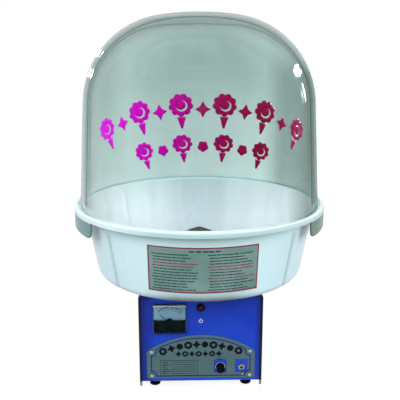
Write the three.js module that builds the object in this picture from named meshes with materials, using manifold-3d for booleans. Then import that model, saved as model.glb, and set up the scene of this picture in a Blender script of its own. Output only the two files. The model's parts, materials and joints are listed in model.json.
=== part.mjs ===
// Cotton candy machine with a spinning head, a lift-off tub and a clear dome.
// Millimetres, +Z up, the control panel faces -Y, the origin is on the floor under the machine's middle.

import * as THREE from "three";
import { mergeVertices } from "three/addons/utils/BufferGeometryUtils.js";
import Module from "manifold-3d";

const wasm = await Module();
wasm.setup();

// Clearances
const restGap = 0.3; // between pieces that rest on or against each other
const shaftGap = 0.3; // around shafts, stems and bushings, on the radius
const screwGap = 0.4; // around screw shanks, on the radius

// Roundness, in segments of a full turn
const bowlTurn = 48;
const partTurn = 24;
const smallTurn = 12;
const screwTurn = 8;

// Cabinet: a folded chassis with front, bottom and back, under a folded cover with two sides and a top
const cabinetWidth = 250;
const cabinetDepth = 250;
const panelHeight = 185;
const sheet = 1.5;
const bendRadius = 3;
const coverDrop = 9.5;
const coverLip = 5;
const flangeHeight = 18;
const flangeInset = 25;
const coverScrewInset = 45;
const coverScrewHeight = 10;
const topHoleRadius = 30;
const ventCount = 6;
const ventLength = 90;
const ventWidth = 4;
const ventPitch = 10;
const ventDrop = 25;

// Feet
const footHeight = 20;
const footRadius = 11.25;
const footTaper = 1.2;
const footInset = 30;
const footStemRadius = 3.2;
const footBeadRadius = 4.6;
const footBeadHeight = 3;
const footHollowRadius = 4;
const footHollowDepth = 3;

// Screws
const screwHeadRadius = 4;
const screwHeadHeight = 2.4;
const screwHeadEdge = 1.3;
const screwHeadFlat = 2.8;
const screwShankRadius = 1.9;
const screwShankLength = 7;

// Nameplate with an arched top, which reaches up to just below the meter
const plateMargin = 15;
const plateBottom = 8;
const plateToMeter = 6.9;
const plateRise = 26.5;
const plateCorner = 10;
const plateThickness = 1;
const plateScrewInset = 10;
const plateScrewRise = 6;
const windowWidth = 25;
const windowHeight = 28.7;

// Panel meter
const meterSideMargin = 29.25;
const meterTopMargin = 14;
const meterWidth = 66.5;
const meterHeight = 60.6;
const meterBackDepth = 4;
const meterDepth = 12;
const meterBarrelRadius = 26;
const meterBarrelLength = 30;
const meterBarrelWall = 3;
const meterStudX = 28;
const meterStudY = 24;
const meterStudRadius = 1.6;
const meterStudLength = 12;
const meterNutRadius = 3.6;
const meterNutHeight = 2.5;
const lensWall = 1.6;
const dialThickness = 0.8;
const maskHeight = 22;
const maskFront = 1.5;
const pivotCoverRadius = 6;
const needlePivotHeight = 20.5;
const needleLength = 27;
const needleWidth = 0.9;
const needleThickness = 0.6;
const needleHubRadius = 2.5;
const needleSweep = 90;
const zeroScrewHeight = 11;
const zeroScrewRadius = 3;
const zeroScrewProud = 0.8;
const zeroSlot = 0.8;

// Pilot lamp
const lampX = 0;
const lampDrop = 22.3;
const lampBezelRadius = 8.2;
const lampBezelDepth = 4.5;
const lampBezelBevel = 1;
const lampBarrelRadius = 5.8;
const lampBarrelLength = 22;
const lampBarrelWall = 1.5;
const lampLensRadius = 5.2;
const lampLensSeat = 2.5;
const lampLensProud = 2;
const lampLensShoulderRadius = 4.2;
const lampLensShoulderDrop = 0.7;
const lampLensTipRadius = 2.1;
const lampNutRadius = 8;
const lampNutHeight = 3;

// Heat control
const controlHeight = 34;
const knobToToggle = 43.2;
const knobRadius = 9.2;
const knobDepth = 11.5;
const knobDraft = 0.4;
const knobTopRadius = 7.9;
const knobTopEdge = 1.2;
const knobGrooves = 12;
const knobGrooveRadius = 0.9;
const knobGrooveRise = 2;
const knobRingRadius = 10.5;
const knobRingDepth = 2;
const controlBodyRadius = 18;
const controlBodyDepth = 20;
const controlBushRadius = 4;
const controlNutRadius = 6;
const controlNutHeight = 2.4;
const controlShaftRadius = 2.5;
const controlShaftInKnob = 9;

// Toggle switch
const toggleInset = 27.2;
const toggleBodyWidth = 13;
const toggleBodyHeight = 28;
const toggleBodyDepth = 24;
const toggleBushWall = 2.3;
const toggleBushLength = 8;
const toggleNutRadius = 7.2;
const toggleNutHeight = 2.6;
const toggleBallRadius = 3.2;
const togglePivotDepth = 3;
const toggleLeverLength = 24;
const toggleRootRadius = 1.3;
const toggleTipRadius = 2.4;
const toggleTipFlat = 1.7;
const toggleTipEdge = 0.6;
const toggleTilt = 12;

// Motor and what feeds the head
const motorRadius = 48;
const motorCapInset = 4;
const motorCapHeight = 8;
const motorFloorGap = 5;
const motorSideGap = 22;
const bridgeThickness = 3;
const bridgeDepth = 80;
const bridgeFoot = 24;
const bridgeHoleRadius = 12;
const mountRadius = 9;
const mountHeight = 6;
const mountInset = 15;
const shaftRadius = 6;
const drumRadius = 18;
const drumHeight = 40;
const drumToBridge = 18;
const drumToRoof = 18;
const slipRingThickness = 3.7;
const slipRingHeight = 8;
const slipRingPitch = 18;
const brushWidth = 6;
const brushLength = 22;
const brushHolderWidth = 20;
const brushHolderOffset = 9;
const brushHolderDepth = 20;

// Electrical pieces at the back
const terminalWidth = 56;
const terminalDepth = 18;
const terminalHeight = 16;
const terminalInset = 33;
const terminalSlots = 6;
const terminalSlotWidth = 6;
const terminalSlotDepth = 5;
const inletInset = 50;
const inletHeight = 32;
const inletWidth = 27;
const inletTall = 20;
const inletDepth = 24;
const inletFlange = 4;
const inletFlangeDepth = 2.5;
const inletPocketWall = 2;
const inletPocketDepth = 16;
const inletPinWidth = 2;
const inletPinTall = 4;
const inletPinLength = 12;
const inletPinPitch = 7;

// Tub and the ring that carries it
const seatHeight = 21;
const seatLedge = 22;
const spigotWall = 5.7;
const spigotHeight = 7;
const spigotPlay = 1.3;
const tubHolePlay = 13;
const tubWall = 4;
const tubHeight = 150;
const tubDraft = 10.9;
const tubBottomRadius = 212;
const tubCornerRadius = 19.3;
const tubCollarHeight = 20;
const rimDepth = 8;
const rimLip = 8;
const rimEdge = 1.5;
const ridgeEdge = 1;
const grooveDepth = 5;
const ridgeWidth = 5;
const skirtDepth = 42;
const skirtWall = 3.5;
const skirtHalfAngle = 37;
const skirtSteps = 12;

// Spinning head
const headRadius = 75;
const headClearance = 7;
const headWall = 3;
const headLipHeight = 1.5;
const headHubRadius = 14;
const headHubHeight = 45;
const headBandThickness = 4;
const headBandInset = 0.5;
const headBandHeight = 37.5;
const headSlots = 16;
const headSlotWidth = 3;
const headSlotHeight = 24;
const heaterInset = 13;
const heaterThickness = 4;
const heaterHeight = 32;
const headCoverHeight = 5;
const headCoverBevel = 2;
const headFeedGap = 14;
const headCapRadius = 26;
const headCapWall = 19;
const headCapCone = 10;
const headCapTipRadius = 5;

// Dome
const domeWall = 5;
const domeInnerPlay = 0.9;
const domeOuterPlay = 4.3;
const domeTaper = 3.6;
const domeShoulderRadius = 180.4;
const domeCrownRadius = 537;
const domeHeight = 384.5;
const domeShoulderSteps = 8;
const domeCrownSteps = 3;

// Heights and faces that follow from the sizes above
const rad = THREE.MathUtils.degToRad;
const panelFace = -cabinetDepth / 2;
const cabinetTop = footHeight + panelHeight;
const floorTop = footHeight + sheet;
const chassisWidth = cabinetWidth - 2 * (sheet + restGap);

// On the panel, heights from its lower edge
const meterX = meterSideMargin + meterWidth / 2 - cabinetWidth / 2;
const meterBottom = panelHeight - meterTopMargin - meterHeight;
const lampHeight = panelHeight - lampDrop;
const plateWidth = cabinetWidth - 2 * plateMargin;
const plateCrown = meterBottom - plateToMeter;
const plateShoulder = plateCrown - plateRise;
const plateScrewHigh = plateShoulder - plateScrewInset;
const plateScrewLow = plateBottom + plateScrewRise;
const toggleX = plateWidth / 2 - toggleInset;
const knobX = toggleX - knobToToggle;
const toggleBushRadius = toggleBallRadius + shaftGap + toggleBushWall;

// From the cabinet's floor up: rubber mounts, bridge, slip rings and roof
// The motor fills the height that is left under the bridge
const mountLow = floorTop + restGap;
const bridgeFootLow = mountLow + mountHeight + restGap;
const drumTop = cabinetTop - sheet - drumToRoof;
const drumLow = drumTop - drumHeight;
const bridgeTop = drumLow - drumToBridge;
const bridgeLow = bridgeTop - bridgeThickness;
const motorLow = floorTop + motorFloorGap + motorCapHeight + restGap;
const motorTop = bridgeLow - restGap;

// From the cabinet's top up: seat, tub, head, rim, dome
const tubBottom = cabinetTop + seatHeight;
const tubHoleRadius = headRadius + tubHolePlay;
const seatShelf = tubBottom - restGap;
const headLow = seatShelf + spigotHeight + headClearance;
const rimTop = tubBottom + tubHeight;
const grooveFloor = rimTop - grooveDepth;

// The tub's wall leans out at its draft, its outer line meeting the bottom's level at tubBottomRadius
const draft = rad(tubDraft);
const tubOuterAt = (z) => tubBottomRadius + (z - tubBottom) * Math.tan(draft);
const tubInnerAt = (z) => tubOuterAt(z) - tubWall / Math.cos(draft);
const ridgeInner = tubInnerAt(rimTop);
const ridgeOuter = ridgeInner + ridgeWidth;
const taper = rad(domeTaper);
const domeFootRadius = ridgeOuter + domeInnerPlay + domeWall / Math.cos(taper);
const lipInner = domeFootRadius + domeOuterPlay;
const rimRadius = lipInner + rimLip;

// Colours and finishes
const paint = (colour, roughness, metalness) =>
  new THREE.MeshStandardMaterial({ color: colour, roughness, metalness });
const finishes = {
  bluePaint: () => paint(0x2440b4, 0.35, 0.1),
  blackRubber: () => paint(0x14161a, 0.8, 0),
  silverPlate: () => paint(0x9fb0b2, 0.4, 0.7),
  screwSteel: () => paint(0xc4c8ca, 0.3, 1),
  blackPlastic: () => paint(0x15181b, 0.35, 0),
  whiteDial: () => paint(0xe4edf2, 0.6, 0),
  clearPlastic: () => paint(0xd5e6e4, 0.05, 0),
  redLens: () => paint(0x5a1414, 0.2, 0),
  chrome: () => paint(0xdde0e2, 0.1, 1),
  brass: () => paint(0xc9ad6a, 0.3, 1),
  greyMotor: () => paint(0x4a5054, 0.5, 0.5),
  zincSteel: () => paint(0xa9aeb0, 0.4, 0.9),
  brownInsulator: () => paint(0x6a3a22, 0.5, 0),
  carbon: () => paint(0x26282a, 0.7, 0.2),
  castAluminium: () => paint(0x9aa0a4, 0.45, 0.9),
  heaterSteel: () => paint(0x6d655f, 0.6, 0.8),
  whitePlastic: () => paint(0xe8f3f3, 0.25, 0),
  domePlastic: () => paint(0xc8dcd8, 0.05, 0),
};

// Solids for joining and cutting
function solidOf(geometry) {
  const bare = geometry.index ? geometry.toNonIndexed() : geometry.clone();
  bare.deleteAttribute("normal");
  bare.deleteAttribute("uv");
  const merged = mergeVertices(bare, 1e-3);
  return new wasm.Manifold(
    new wasm.Mesh({
      numProp: 3,
      vertProperties: merged.attributes.position.array,
      triVerts: new Uint32Array(merged.index.array),
    }),
  );
}

function geometryOf(solid) {
  const mesh = solid.getMesh();
  const geometry = new THREE.BufferGeometry();
  geometry.setAttribute("position", new THREE.BufferAttribute(new Float32Array(mesh.vertProperties), 3));
  geometry.setIndex(new THREE.BufferAttribute(new Uint32Array(mesh.triVerts), 1));
  geometry.computeVertexNormals();
  return geometry;
}

const cut = (base, ...tools) =>
  geometryOf(tools.reduce((solid, tool) => solid.subtract(solidOf(tool)), solidOf(base)));
const join = (base, ...others) =>
  geometryOf(others.reduce((solid, other) => solid.add(solidOf(other)), solidOf(base)));

// Basic forms
const point = (r, z) => new THREE.Vector2(r, z);

// A profile of radius and height points, anticlockwise, turned about Z
function turned(profile, segments) {
  const geometry = new THREE.LatheGeometry(profile, segments);
  return geometry.rotateX(Math.PI / 2);
}

function ring(inner, outer, low, high, segments) {
  const corners = [point(inner, low), point(outer, low), point(outer, high), point(inner, high)];
  return turned([...corners, corners[0]], segments);
}

function rod(radius, low, high, segments) {
  return turned([point(0, low), point(radius, low), point(radius, high), point(0, high)], segments);
}

// A box between two values on each axis, in either order
function block(x0, x1, y0, y1, z0, z1) {
  const box = new THREE.BoxGeometry(Math.abs(x1 - x0), Math.abs(y1 - y0), Math.abs(z1 - z0));
  return box.translate((x0 + x1) / 2, (y0 + y1) / 2, (z0 + z1) / 2);
}

// An outline in X and Y, from one Z level to another
function slab(shape, low, high, curveSegments = 4) {
  const options = { depth: high - low, bevelEnabled: false, curveSegments };
  return new THREE.ExtrudeGeometry(shape, options).translate(0, 0, low);
}

function nut(radius, bore, low, high) {
  const hexagon = new THREE.Shape();
  for (let i = 0; i < 6; i++) {
    const angle = (i * Math.PI) / 3;
    const corner = [radius * Math.cos(angle), radius * Math.sin(angle)];
    if (i === 0) hexagon.moveTo(...corner);
    else hexagon.lineTo(...corner);
  }
  hexagon.closePath();
  return cut(slab(hexagon, low, high), rod(bore, low - 1, high + 1, smallTurn));
}

// A pan head screw, its head standing on Z = 0 and its shank below
function screw() {
  return turned(
    [
      point(0, -screwShankLength),
      point(screwShankRadius, -screwShankLength),
      point(screwShankRadius, 0),
      point(screwHeadRadius, 0),
      point(screwHeadRadius, screwHeadEdge),
      point(screwHeadFlat, screwHeadHeight),
      point(0, screwHeadHeight),
    ],
    screwTurn,
  );
}

const screwHole = (depth) => rod(screwShankRadius + screwGap, -depth, depth, screwTurn);

// An upside-down U of sheet, standing on Y = 0, its bends rounded
function channel(width, height, wall, bend) {
  const w = width / 2;
  const inner = Math.max(bend - wall, 0.1);
  const shape = new THREE.Shape();
  shape.moveTo(w - wall, 0);
  shape.lineTo(w, 0);
  shape.lineTo(w, height - bend);
  shape.absarc(w - bend, height - bend, bend, 0, Math.PI / 2, false);
  shape.lineTo(bend - w, height);
  shape.absarc(bend - w, height - bend, bend, Math.PI / 2, Math.PI, false);
  shape.lineTo(-w, 0);
  shape.lineTo(wall - w, 0);
  shape.lineTo(wall - w, height - wall - inner);
  shape.absarc(wall + inner - w, height - wall - inner, inner, Math.PI, Math.PI / 2, true);
  shape.lineTo(w - wall - inner, height - wall);
  shape.absarc(w - wall - inner, height - wall - inner, inner, Math.PI / 2, 0, true);
  shape.closePath();
  return shape;
}

const machine = new THREE.Group();

function piece(name, geometry, finish, parent = machine) {
  const mesh = new THREE.Mesh(geometry, finishes[finish]());
  mesh.name = name;
  parent.add(mesh);
  return mesh;
}

// The control panel's own frame: X to the right, Y up from its lower edge, Z out of its face
const panel = new THREE.Group();
panel.position.set(0, panelFace, footHeight);
panel.rotation.x = Math.PI / 2;
machine.add(panel);

const toPanel = (geometry) => geometry.rotateX(Math.PI / 2).translate(0, panelFace, footHeight);
const panelHole = (radius, x, y) => toPanel(rod(radius, -2 * sheet, 2 * sheet, partTurn).translate(x, y, 0));

const plateScrews = [];
for (const x of [plateScrewInset - plateWidth / 2, plateWidth / 2 - plateScrewInset])
  for (const y of [plateScrewLow, plateScrewHigh]) plateScrews.push([x, y]);

// Four places in a rectangle, each with its name
function corners(halfX, halfY) {
  const sides = { left: -halfX, right: halfX };
  const ends = { front: -halfY, rear: halfY };
  const places = [];
  for (const [side, x] of Object.entries(sides))
    for (const [end, y] of Object.entries(ends)) places.push({ name: `${end}_${side}`, x, y });
  return places;
}

const footPlaces = corners(cabinetWidth / 2 - footInset, cabinetDepth / 2 - footInset);

// Cover screws go through both sides into the chassis's flanges
const coverScrews = corners(cabinetWidth / 2, cabinetDepth / 2 - coverScrewInset);
const coverScrewHole = ({ x, y }) =>
  screwHole(3 * sheet)
    .rotateY(Math.PI / 2)
    .translate(x, y, footHeight + coverScrewHeight);

function makeChassis() {
  const height = panelHeight - sheet - restGap;
  const folded = slab(channel(cabinetDepth, height, sheet, bendRadius), -chassisWidth / 2, chassisWidth / 2);
  folded.rotateZ(Math.PI);
  const alongY = new THREE.Vector3(0, 1, 0);
  const alongZ = new THREE.Vector3(0, 0, 1);
  const alongX = new THREE.Vector3(1, 0, 0);
  folded.applyMatrix4(new THREE.Matrix4().makeBasis(alongY, alongZ, alongX));
  folded.translate(0, 0, footHeight + height);
  const flanges = [-1, 1].map((side) => {
    const outer = (side * chassisWidth) / 2;
    const half = cabinetDepth / 2 - flangeInset;
    return block(outer - side * sheet, outer, -half, half, footHeight, floorTop + flangeHeight);
  });
  const cuts = [];
  for (const side of [-1, 1]) {
    const lip = side * (cabinetWidth / 2 - coverLip - restGap);
    const far = side * cabinetWidth;
    const back = panelFace + sheet + restGap;
    cuts.push(block(lip, far, panelFace - 1, back, 0, cabinetTop));
    // The rear wall's top corners clear the cover's bends
    const relief = side * (chassisWidth / 2 - bendRadius);
    const reliefLow = footHeight + height - bendRadius;
    cuts.push(block(relief, far, 0, cabinetDepth, reliefLow, cabinetTop));
  }
  const meterY = meterBottom + meterHeight / 2;
  cuts.push(panelHole(meterBarrelRadius + shaftGap, meterX, meterY));
  for (const side of [-1, 1])
    cuts.push(panelHole(meterStudRadius + screwGap, meterX + side * meterStudX, meterY - meterStudY));
  cuts.push(panelHole(lampBarrelRadius + shaftGap, lampX, lampHeight));
  cuts.push(panelHole(controlBushRadius + shaftGap, knobX, controlHeight));
  cuts.push(panelHole(toggleBushRadius + shaftGap, toggleX, controlHeight));
  for (const [x, y] of plateScrews) cuts.push(toPanel(screwHole(2 * sheet).translate(x, y, 0)));
  for (const { x, y } of footPlaces)
    cuts.push(rod(footStemRadius + shaftGap, 0, floorTop + 1, smallTurn).translate(x, y, 0));
  for (const place of coverScrews) cuts.push(coverScrewHole(place));
  const back = cabinetDepth / 2;
  for (let i = 0; i < ventCount; i++) {
    const z = cabinetTop - ventDrop - i * ventPitch;
    cuts.push(block(-ventLength / 2, ventLength / 2, back - 2 * sheet, back + 1, z, z + ventWidth));
  }
  const inletX = cabinetWidth / 2 - inletInset;
  const w = inletWidth / 2 + restGap;
  const h = inletTall / 2 + restGap;
  const z = footHeight + inletHeight;
  cuts.push(block(inletX - w, inletX + w, back - 2 * sheet, back + 1, z - h, z + h));
  piece("chassis", cut(join(folded, ...flanges), ...cuts), "bluePaint");
}

function makeCover() {
  const height = panelHeight + coverDrop;
  const folded = slab(channel(cabinetWidth, height, sheet, bendRadius), -cabinetDepth / 2, cabinetDepth / 2);
  folded.rotateX(Math.PI / 2).translate(0, 0, footHeight - coverDrop);
  const lips = [-1, 1].map((side) => {
    const outer = (side * cabinetWidth) / 2;
    const inner = outer - side * coverLip;
    const low = footHeight - coverDrop;
    return block(inner, outer, panelFace, panelFace + sheet, low, cabinetTop - bendRadius);
  });
  const shaftHole = rod(topHoleRadius, cabinetTop - 5, cabinetTop + 5, partTurn);
  piece("cover", cut(join(folded, ...lips), shaftHole, ...coverScrews.map(coverScrewHole)), "bluePaint");
  for (const { name, x, y } of coverScrews) {
    const one = piece(`cover_screw_${name}`, screw(), "screwSteel");
    one.rotation.y = (Math.sign(x) * Math.PI) / 2;
    one.position.set(x + Math.sign(x) * restGap, y, footHeight + coverScrewHeight);
  }
}

function makeFeet() {
  const neck = floorTop + restGap;
  const profile = [
    point(0, footHollowDepth),
    point(footHollowRadius, footHollowDepth),
    point(footHollowRadius, 0),
    point(footRadius - footTaper, 0),
    point(footRadius, footTaper),
    point(footRadius, footHeight - restGap),
    point(footStemRadius, footHeight - restGap),
    point(footStemRadius, neck),
    point(footBeadRadius, neck),
    point(footStemRadius, neck + footBeadHeight),
    point(0, neck + footBeadHeight),
  ];
  for (const { name, x, y } of footPlaces)
    piece(`foot_${name}`, turned(profile, smallTurn), "blackRubber").position.set(x, y, 0);
}

function makeNameplate() {
  const half = plateWidth / 2;
  const chord = half - plateCorner;
  const rise = plateCrown - plateShoulder - plateCorner / 2;
  const archRadius = (chord * chord + rise * rise) / (2 * rise);
  const archAngle = Math.asin(chord / archRadius);
  const archEnd = plateCrown - rise;
  const outline = new THREE.Shape();
  outline.moveTo(plateCorner - half, plateBottom);
  outline.lineTo(half - plateCorner, plateBottom);
  outline.absarc(half - plateCorner, plateBottom + plateCorner, plateCorner, -Math.PI / 2, 0, false);
  outline.lineTo(half, plateShoulder);
  outline.quadraticCurveTo(half, archEnd - 1, chord, archEnd);
  const up = Math.PI / 2;
  outline.absarc(0, plateCrown - archRadius, archRadius, up - archAngle, up + archAngle, false);
  outline.quadraticCurveTo(-half, archEnd - 1, -half, plateShoulder);
  outline.lineTo(-half, plateBottom + plateCorner);
  outline.absarc(plateCorner - half, plateBottom + plateCorner, plateCorner, Math.PI, 1.5 * Math.PI, false);
  const face = restGap + plateThickness;
  const tools = [knobX, toggleX].map((x) => {
    const w = windowWidth / 2;
    const h = windowHeight / 2;
    return block(x - w, x + w, controlHeight - h, controlHeight + h, 0, 2 * face);
  });
  for (const [x, y] of plateScrews) tools.push(screwHole(2 * face).translate(x, y, 0));
  piece("nameplate", cut(slab(outline, restGap, face, 8), ...tools), "silverPlate", panel);
  plateScrews.forEach(([x, y], i) => {
    const place = `${y === plateScrewHigh ? "upper" : "lower"}_${x < 0 ? "left" : "right"}`;
    const one = piece(`nameplate_screw_${place}`, screw(), "screwSteel", panel);
    one.position.set(x, y, face + restGap);
  });
}

function makeMeter() {
  const meter = new THREE.Group();
  meter.position.set(meterX, meterBottom + meterHeight / 2, 0);
  panel.add(meter);
  const w = meterWidth / 2;
  const h = meterHeight / 2;
  const back = restGap + meterBackDepth;
  const studs = [-1, 1].map((side) =>
    rod(meterStudRadius, -meterStudLength, 1, screwTurn).translate(side * meterStudX, -meterStudY, 0),
  );
  const barrel = rod(meterBarrelRadius, -meterBarrelLength, 1, partTurn);
  const boreRadius = meterBarrelRadius - meterBarrelWall;
  const bore = rod(boreRadius, meterBarrelWall - meterBarrelLength, back + 1, partTurn);
  const body = join(block(-w, w, -h, h, restGap, back), barrel, ...studs);
  piece("meter_case", cut(body, bore), "blackPlastic", meter);
  const nutTop = -sheet - restGap;
  for (const [side, sign] of [["left", -1], ["right", 1]]) {
    const shape = nut(meterNutRadius, meterStudRadius + shaftGap, nutTop - meterNutHeight, nutTop);
    piece(`meter_nut_${side}`, shape, "screwSteel", meter).position.set(sign * meterStudX, -meterStudY, 0);
  }

  const inside = back + restGap;
  const dialW = w - lensWall - restGap;
  const dialH = h - lensWall - restGap;
  const dialTop = inside + dialThickness;
  piece("meter_dial", block(-dialW, dialW, -dialH, dialH, inside, dialTop), "whiteDial", meter);

  const front = meterDepth;
  const innerFront = front - lensWall;
  const shell = block(-w, w, -h, h, inside, front);
  const room = block(lensWall - w, w - lensWall, lensWall - h, h - lensWall, inside - 1, innerFront);
  const screwSeat = rod(zeroScrewRadius + shaftGap, innerFront - 1, front + 1, smallTurn);
  screwSeat.translate(0, zeroScrewHeight - h, 0);
  piece("meter_lens", cut(shell, room, screwSeat), "clearPlastic", meter);

  const maskBack = dialTop + restGap;
  const maskTop = maskHeight - h + lensWall + restGap;
  const maskFace = innerFront - restGap;
  const strip = block(-dialW, dialW, -dialH, maskTop, maskBack, maskFace);
  const hollow = block(3 - dialW, dialW - 3, 3 - dialH, h, maskBack - 1, maskFace - maskFront);
  const pivotCover = rod(pivotCoverRadius, maskFace - maskFront, maskFace, smallTurn);
  pivotCover.translate(0, maskTop - 1, 0);
  piece("meter_mask", join(cut(strip, hollow), pivotCover), "blackPlastic", meter);

  const needleLow = maskBack + restGap;
  const half = needleWidth / 2;
  const pointer = block(-half, half, 0, needleLength, needleLow, needleLow + needleThickness);
  pointer.rotateZ(rad(needleSweep / 2));
  const hub = rod(needleHubRadius, maskBack, maskFace - maskFront - restGap, smallTurn);
  const needle = piece("meter_needle", join(hub, pointer), "blackPlastic", meter);
  needle.position.y = needlePivotHeight - h;

  const slot = block(-zeroScrewRadius, zeroScrewRadius, -zeroSlot / 2, zeroSlot / 2, front, front + 2);
  const zero = cut(rod(zeroScrewRadius, innerFront, front + zeroScrewProud, smallTurn), slot);
  piece("meter_zero_screw", zero, "blackPlastic", meter).position.y = zeroScrewHeight - h;
}

function makeLamp() {
  const lamp = new THREE.Group();
  lamp.position.set(lampX, lampHeight, 0);
  panel.add(lamp);
  const seat = restGap + lampLensSeat;
  const seatRim = lampLensRadius + shaftGap;
  const bore = lampBarrelRadius - lampBarrelWall;
  const bezel = [
    point(bore, -lampBarrelLength),
    point(lampBarrelRadius, -lampBarrelLength),
    point(lampBarrelRadius, restGap),
    point(lampBezelRadius, restGap),
    point(lampBezelRadius, lampBezelDepth - lampBezelBevel),
    point(lampBezelRadius - lampBezelBevel, lampBezelDepth),
    point(seatRim, lampBezelDepth),
    point(seatRim, seat),
    point(bore, seat),
    point(bore, -lampBarrelLength),
  ];
  piece("lamp_bezel", turned(bezel, smallTurn), "blackPlastic", lamp);
  const top = lampBezelDepth + lampLensProud;
  const lens = [
    point(0, seat + restGap),
    point(lampLensRadius, seat + restGap),
    point(lampLensRadius, lampBezelDepth),
    point(lampLensShoulderRadius, top - lampLensShoulderDrop),
    point(lampLensTipRadius, top),
    point(0, top),
  ];
  piece("lamp_lens", turned(lens, smallTurn), "redLens", lamp);
  const nutTop = -sheet - restGap;
  const lampNut = nut(lampNutRadius, lampBarrelRadius + shaftGap, nutTop - lampNutHeight, nutTop);
  piece("lamp_nut", lampNut, "screwSteel", lamp);
}

function makeHeatControl() {
  const control = new THREE.Group();
  control.position.set(knobX, controlHeight, 0);
  panel.add(control);
  const back = -sheet - restGap;
  const nutLow = restGap;
  const nutHigh = nutLow + controlNutHeight;
  const shaftBack = back - controlBodyDepth / 2;
  const bush = join(
    rod(controlBodyRadius, back - controlBodyDepth, back, partTurn),
    rod(controlBushRadius, back - 1, nutHigh, smallTurn),
  );
  const bore = rod(controlShaftRadius + shaftGap, shaftBack - restGap, nutHigh + 1, smallTurn);
  piece("heat_control_body", cut(bush, bore), "brownInsulator", control);
  const fixing = nut(controlNutRadius, controlBushRadius + shaftGap, nutLow, nutHigh);
  piece("heat_control_nut", fixing, "screwSteel", control);
  const ringLow = nutHigh + restGap;
  const ringHigh = ringLow + knobRingDepth;
  const knobLow = ringHigh + restGap;
  const knobHigh = knobLow + knobDepth;
  const shaftTop = knobLow + controlShaftInKnob;
  piece("heat_control_shaft", rod(controlShaftRadius, shaftBack, shaftTop, smallTurn), "zincSteel", control);
  const skirt = ring(controlShaftRadius + shaftGap, knobRingRadius, ringLow, ringHigh, partTurn);
  piece("heat_knob_ring", skirt, "chrome", control);
  const shell = turned(
    [
      point(0, knobLow),
      point(knobRadius, knobLow),
      point(knobRadius - knobDraft, knobHigh - knobTopEdge),
      point(knobTopRadius, knobHigh),
      point(0, knobHigh),
    ],
    partTurn,
  );
  const tools = [rod(controlShaftRadius + shaftGap, knobLow - 1, shaftTop + restGap, smallTurn)];
  for (let i = 0; i < knobGrooves; i++) {
    const angle = ((i + 0.5) * 2 * Math.PI) / knobGrooves;
    const groove = rod(knobGrooveRadius, knobLow + knobGrooveRise, knobHigh + 1, screwTurn);
    tools.push(groove.translate(knobRadius * Math.cos(angle), knobRadius * Math.sin(angle), 0));
  }
  piece("heat_knob", cut(shell, ...tools), "blackPlastic", control);
}

function makeToggle() {
  const toggle = new THREE.Group();
  toggle.position.set(toggleX, controlHeight, 0);
  panel.add(toggle);
  const back = -sheet - restGap;
  const w = toggleBodyWidth / 2;
  const h = toggleBodyHeight / 2;
  const bushBore = toggleBallRadius + shaftGap;
  const bush = join(
    block(-w, w, -h, h, back - toggleBodyDepth, back),
    rod(toggleBushRadius, back - 1, toggleBushLength, partTurn),
  );
  const bore = rod(bushBore, togglePivotDepth - toggleBallRadius - restGap, toggleBushLength + 1, partTurn);
  piece("toggle_body", cut(bush, bore), "zincSteel", toggle);
  const fixing = nut(toggleNutRadius, toggleBushRadius + shaftGap, restGap, restGap + toggleNutHeight);
  piece("toggle_nut", fixing, "chrome", toggle);
  const ball = new THREE.SphereGeometry(toggleBallRadius, smallTurn, 8).rotateX(Math.PI / 2);
  const bat = turned(
    [
      point(0, 0),
      point(toggleRootRadius, 0),
      point(toggleTipRadius, toggleLeverLength - toggleTipRadius),
      point(toggleTipFlat, toggleLeverLength - toggleTipEdge),
      point(0, toggleLeverLength),
    ],
    smallTurn,
  );
  const lever = piece("toggle_lever", join(ball, bat), "brass", toggle);
  lever.position.z = togglePivotDepth;
  lever.rotation.x = rad(toggleTilt);
}

// The bridge stands on four rubber mounts on the cabinet's floor, and the motor hangs under it
function makeMotor() {
  const bore = shaftRadius + shaftGap;
  piece("motor_housing", ring(bore, motorRadius, motorLow, motorTop, partTurn), "greyMotor");
  const capTop = motorLow - restGap;
  const cap = ring(bore, motorRadius - motorCapInset, capTop - motorCapHeight, capTop, partTurn);
  piece("motor_end_cap", cap, "castAluminium");

  const half = motorRadius + motorSideGap;
  const t = bridgeThickness;
  const profile = new THREE.Shape();
  const right = [
    [half - t, bridgeLow],
    [half - t, bridgeFootLow],
    [half + bridgeFoot, bridgeFootLow],
    [half + bridgeFoot, bridgeFootLow + t],
    [half, bridgeFootLow + t],
    [half, bridgeTop],
  ];
  const left = right.map(([x, z]) => [-x, z]).reverse();
  [...right, ...left].forEach(([x, z], i) => (i ? profile.lineTo(x, z) : profile.moveTo(x, z)));
  profile.closePath();
  const bent = slab(profile, -bridgeDepth / 2, bridgeDepth / 2).rotateX(Math.PI / 2);
  const hole = rod(bridgeHoleRadius, bridgeLow - 1, bridgeTop + 1, partTurn);
  piece("motor_bridge", cut(bent, hole), "zincSteel");

  for (const { name, x, y } of corners(half + bridgeFoot / 2, bridgeDepth / 2 - mountInset)) {
    const puck = rod(mountRadius, mountLow, mountLow + mountHeight, smallTurn);
    piece(`motor_mount_${name}`, puck, "blackRubber").position.set(x, y, 0);
  }
}

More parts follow.
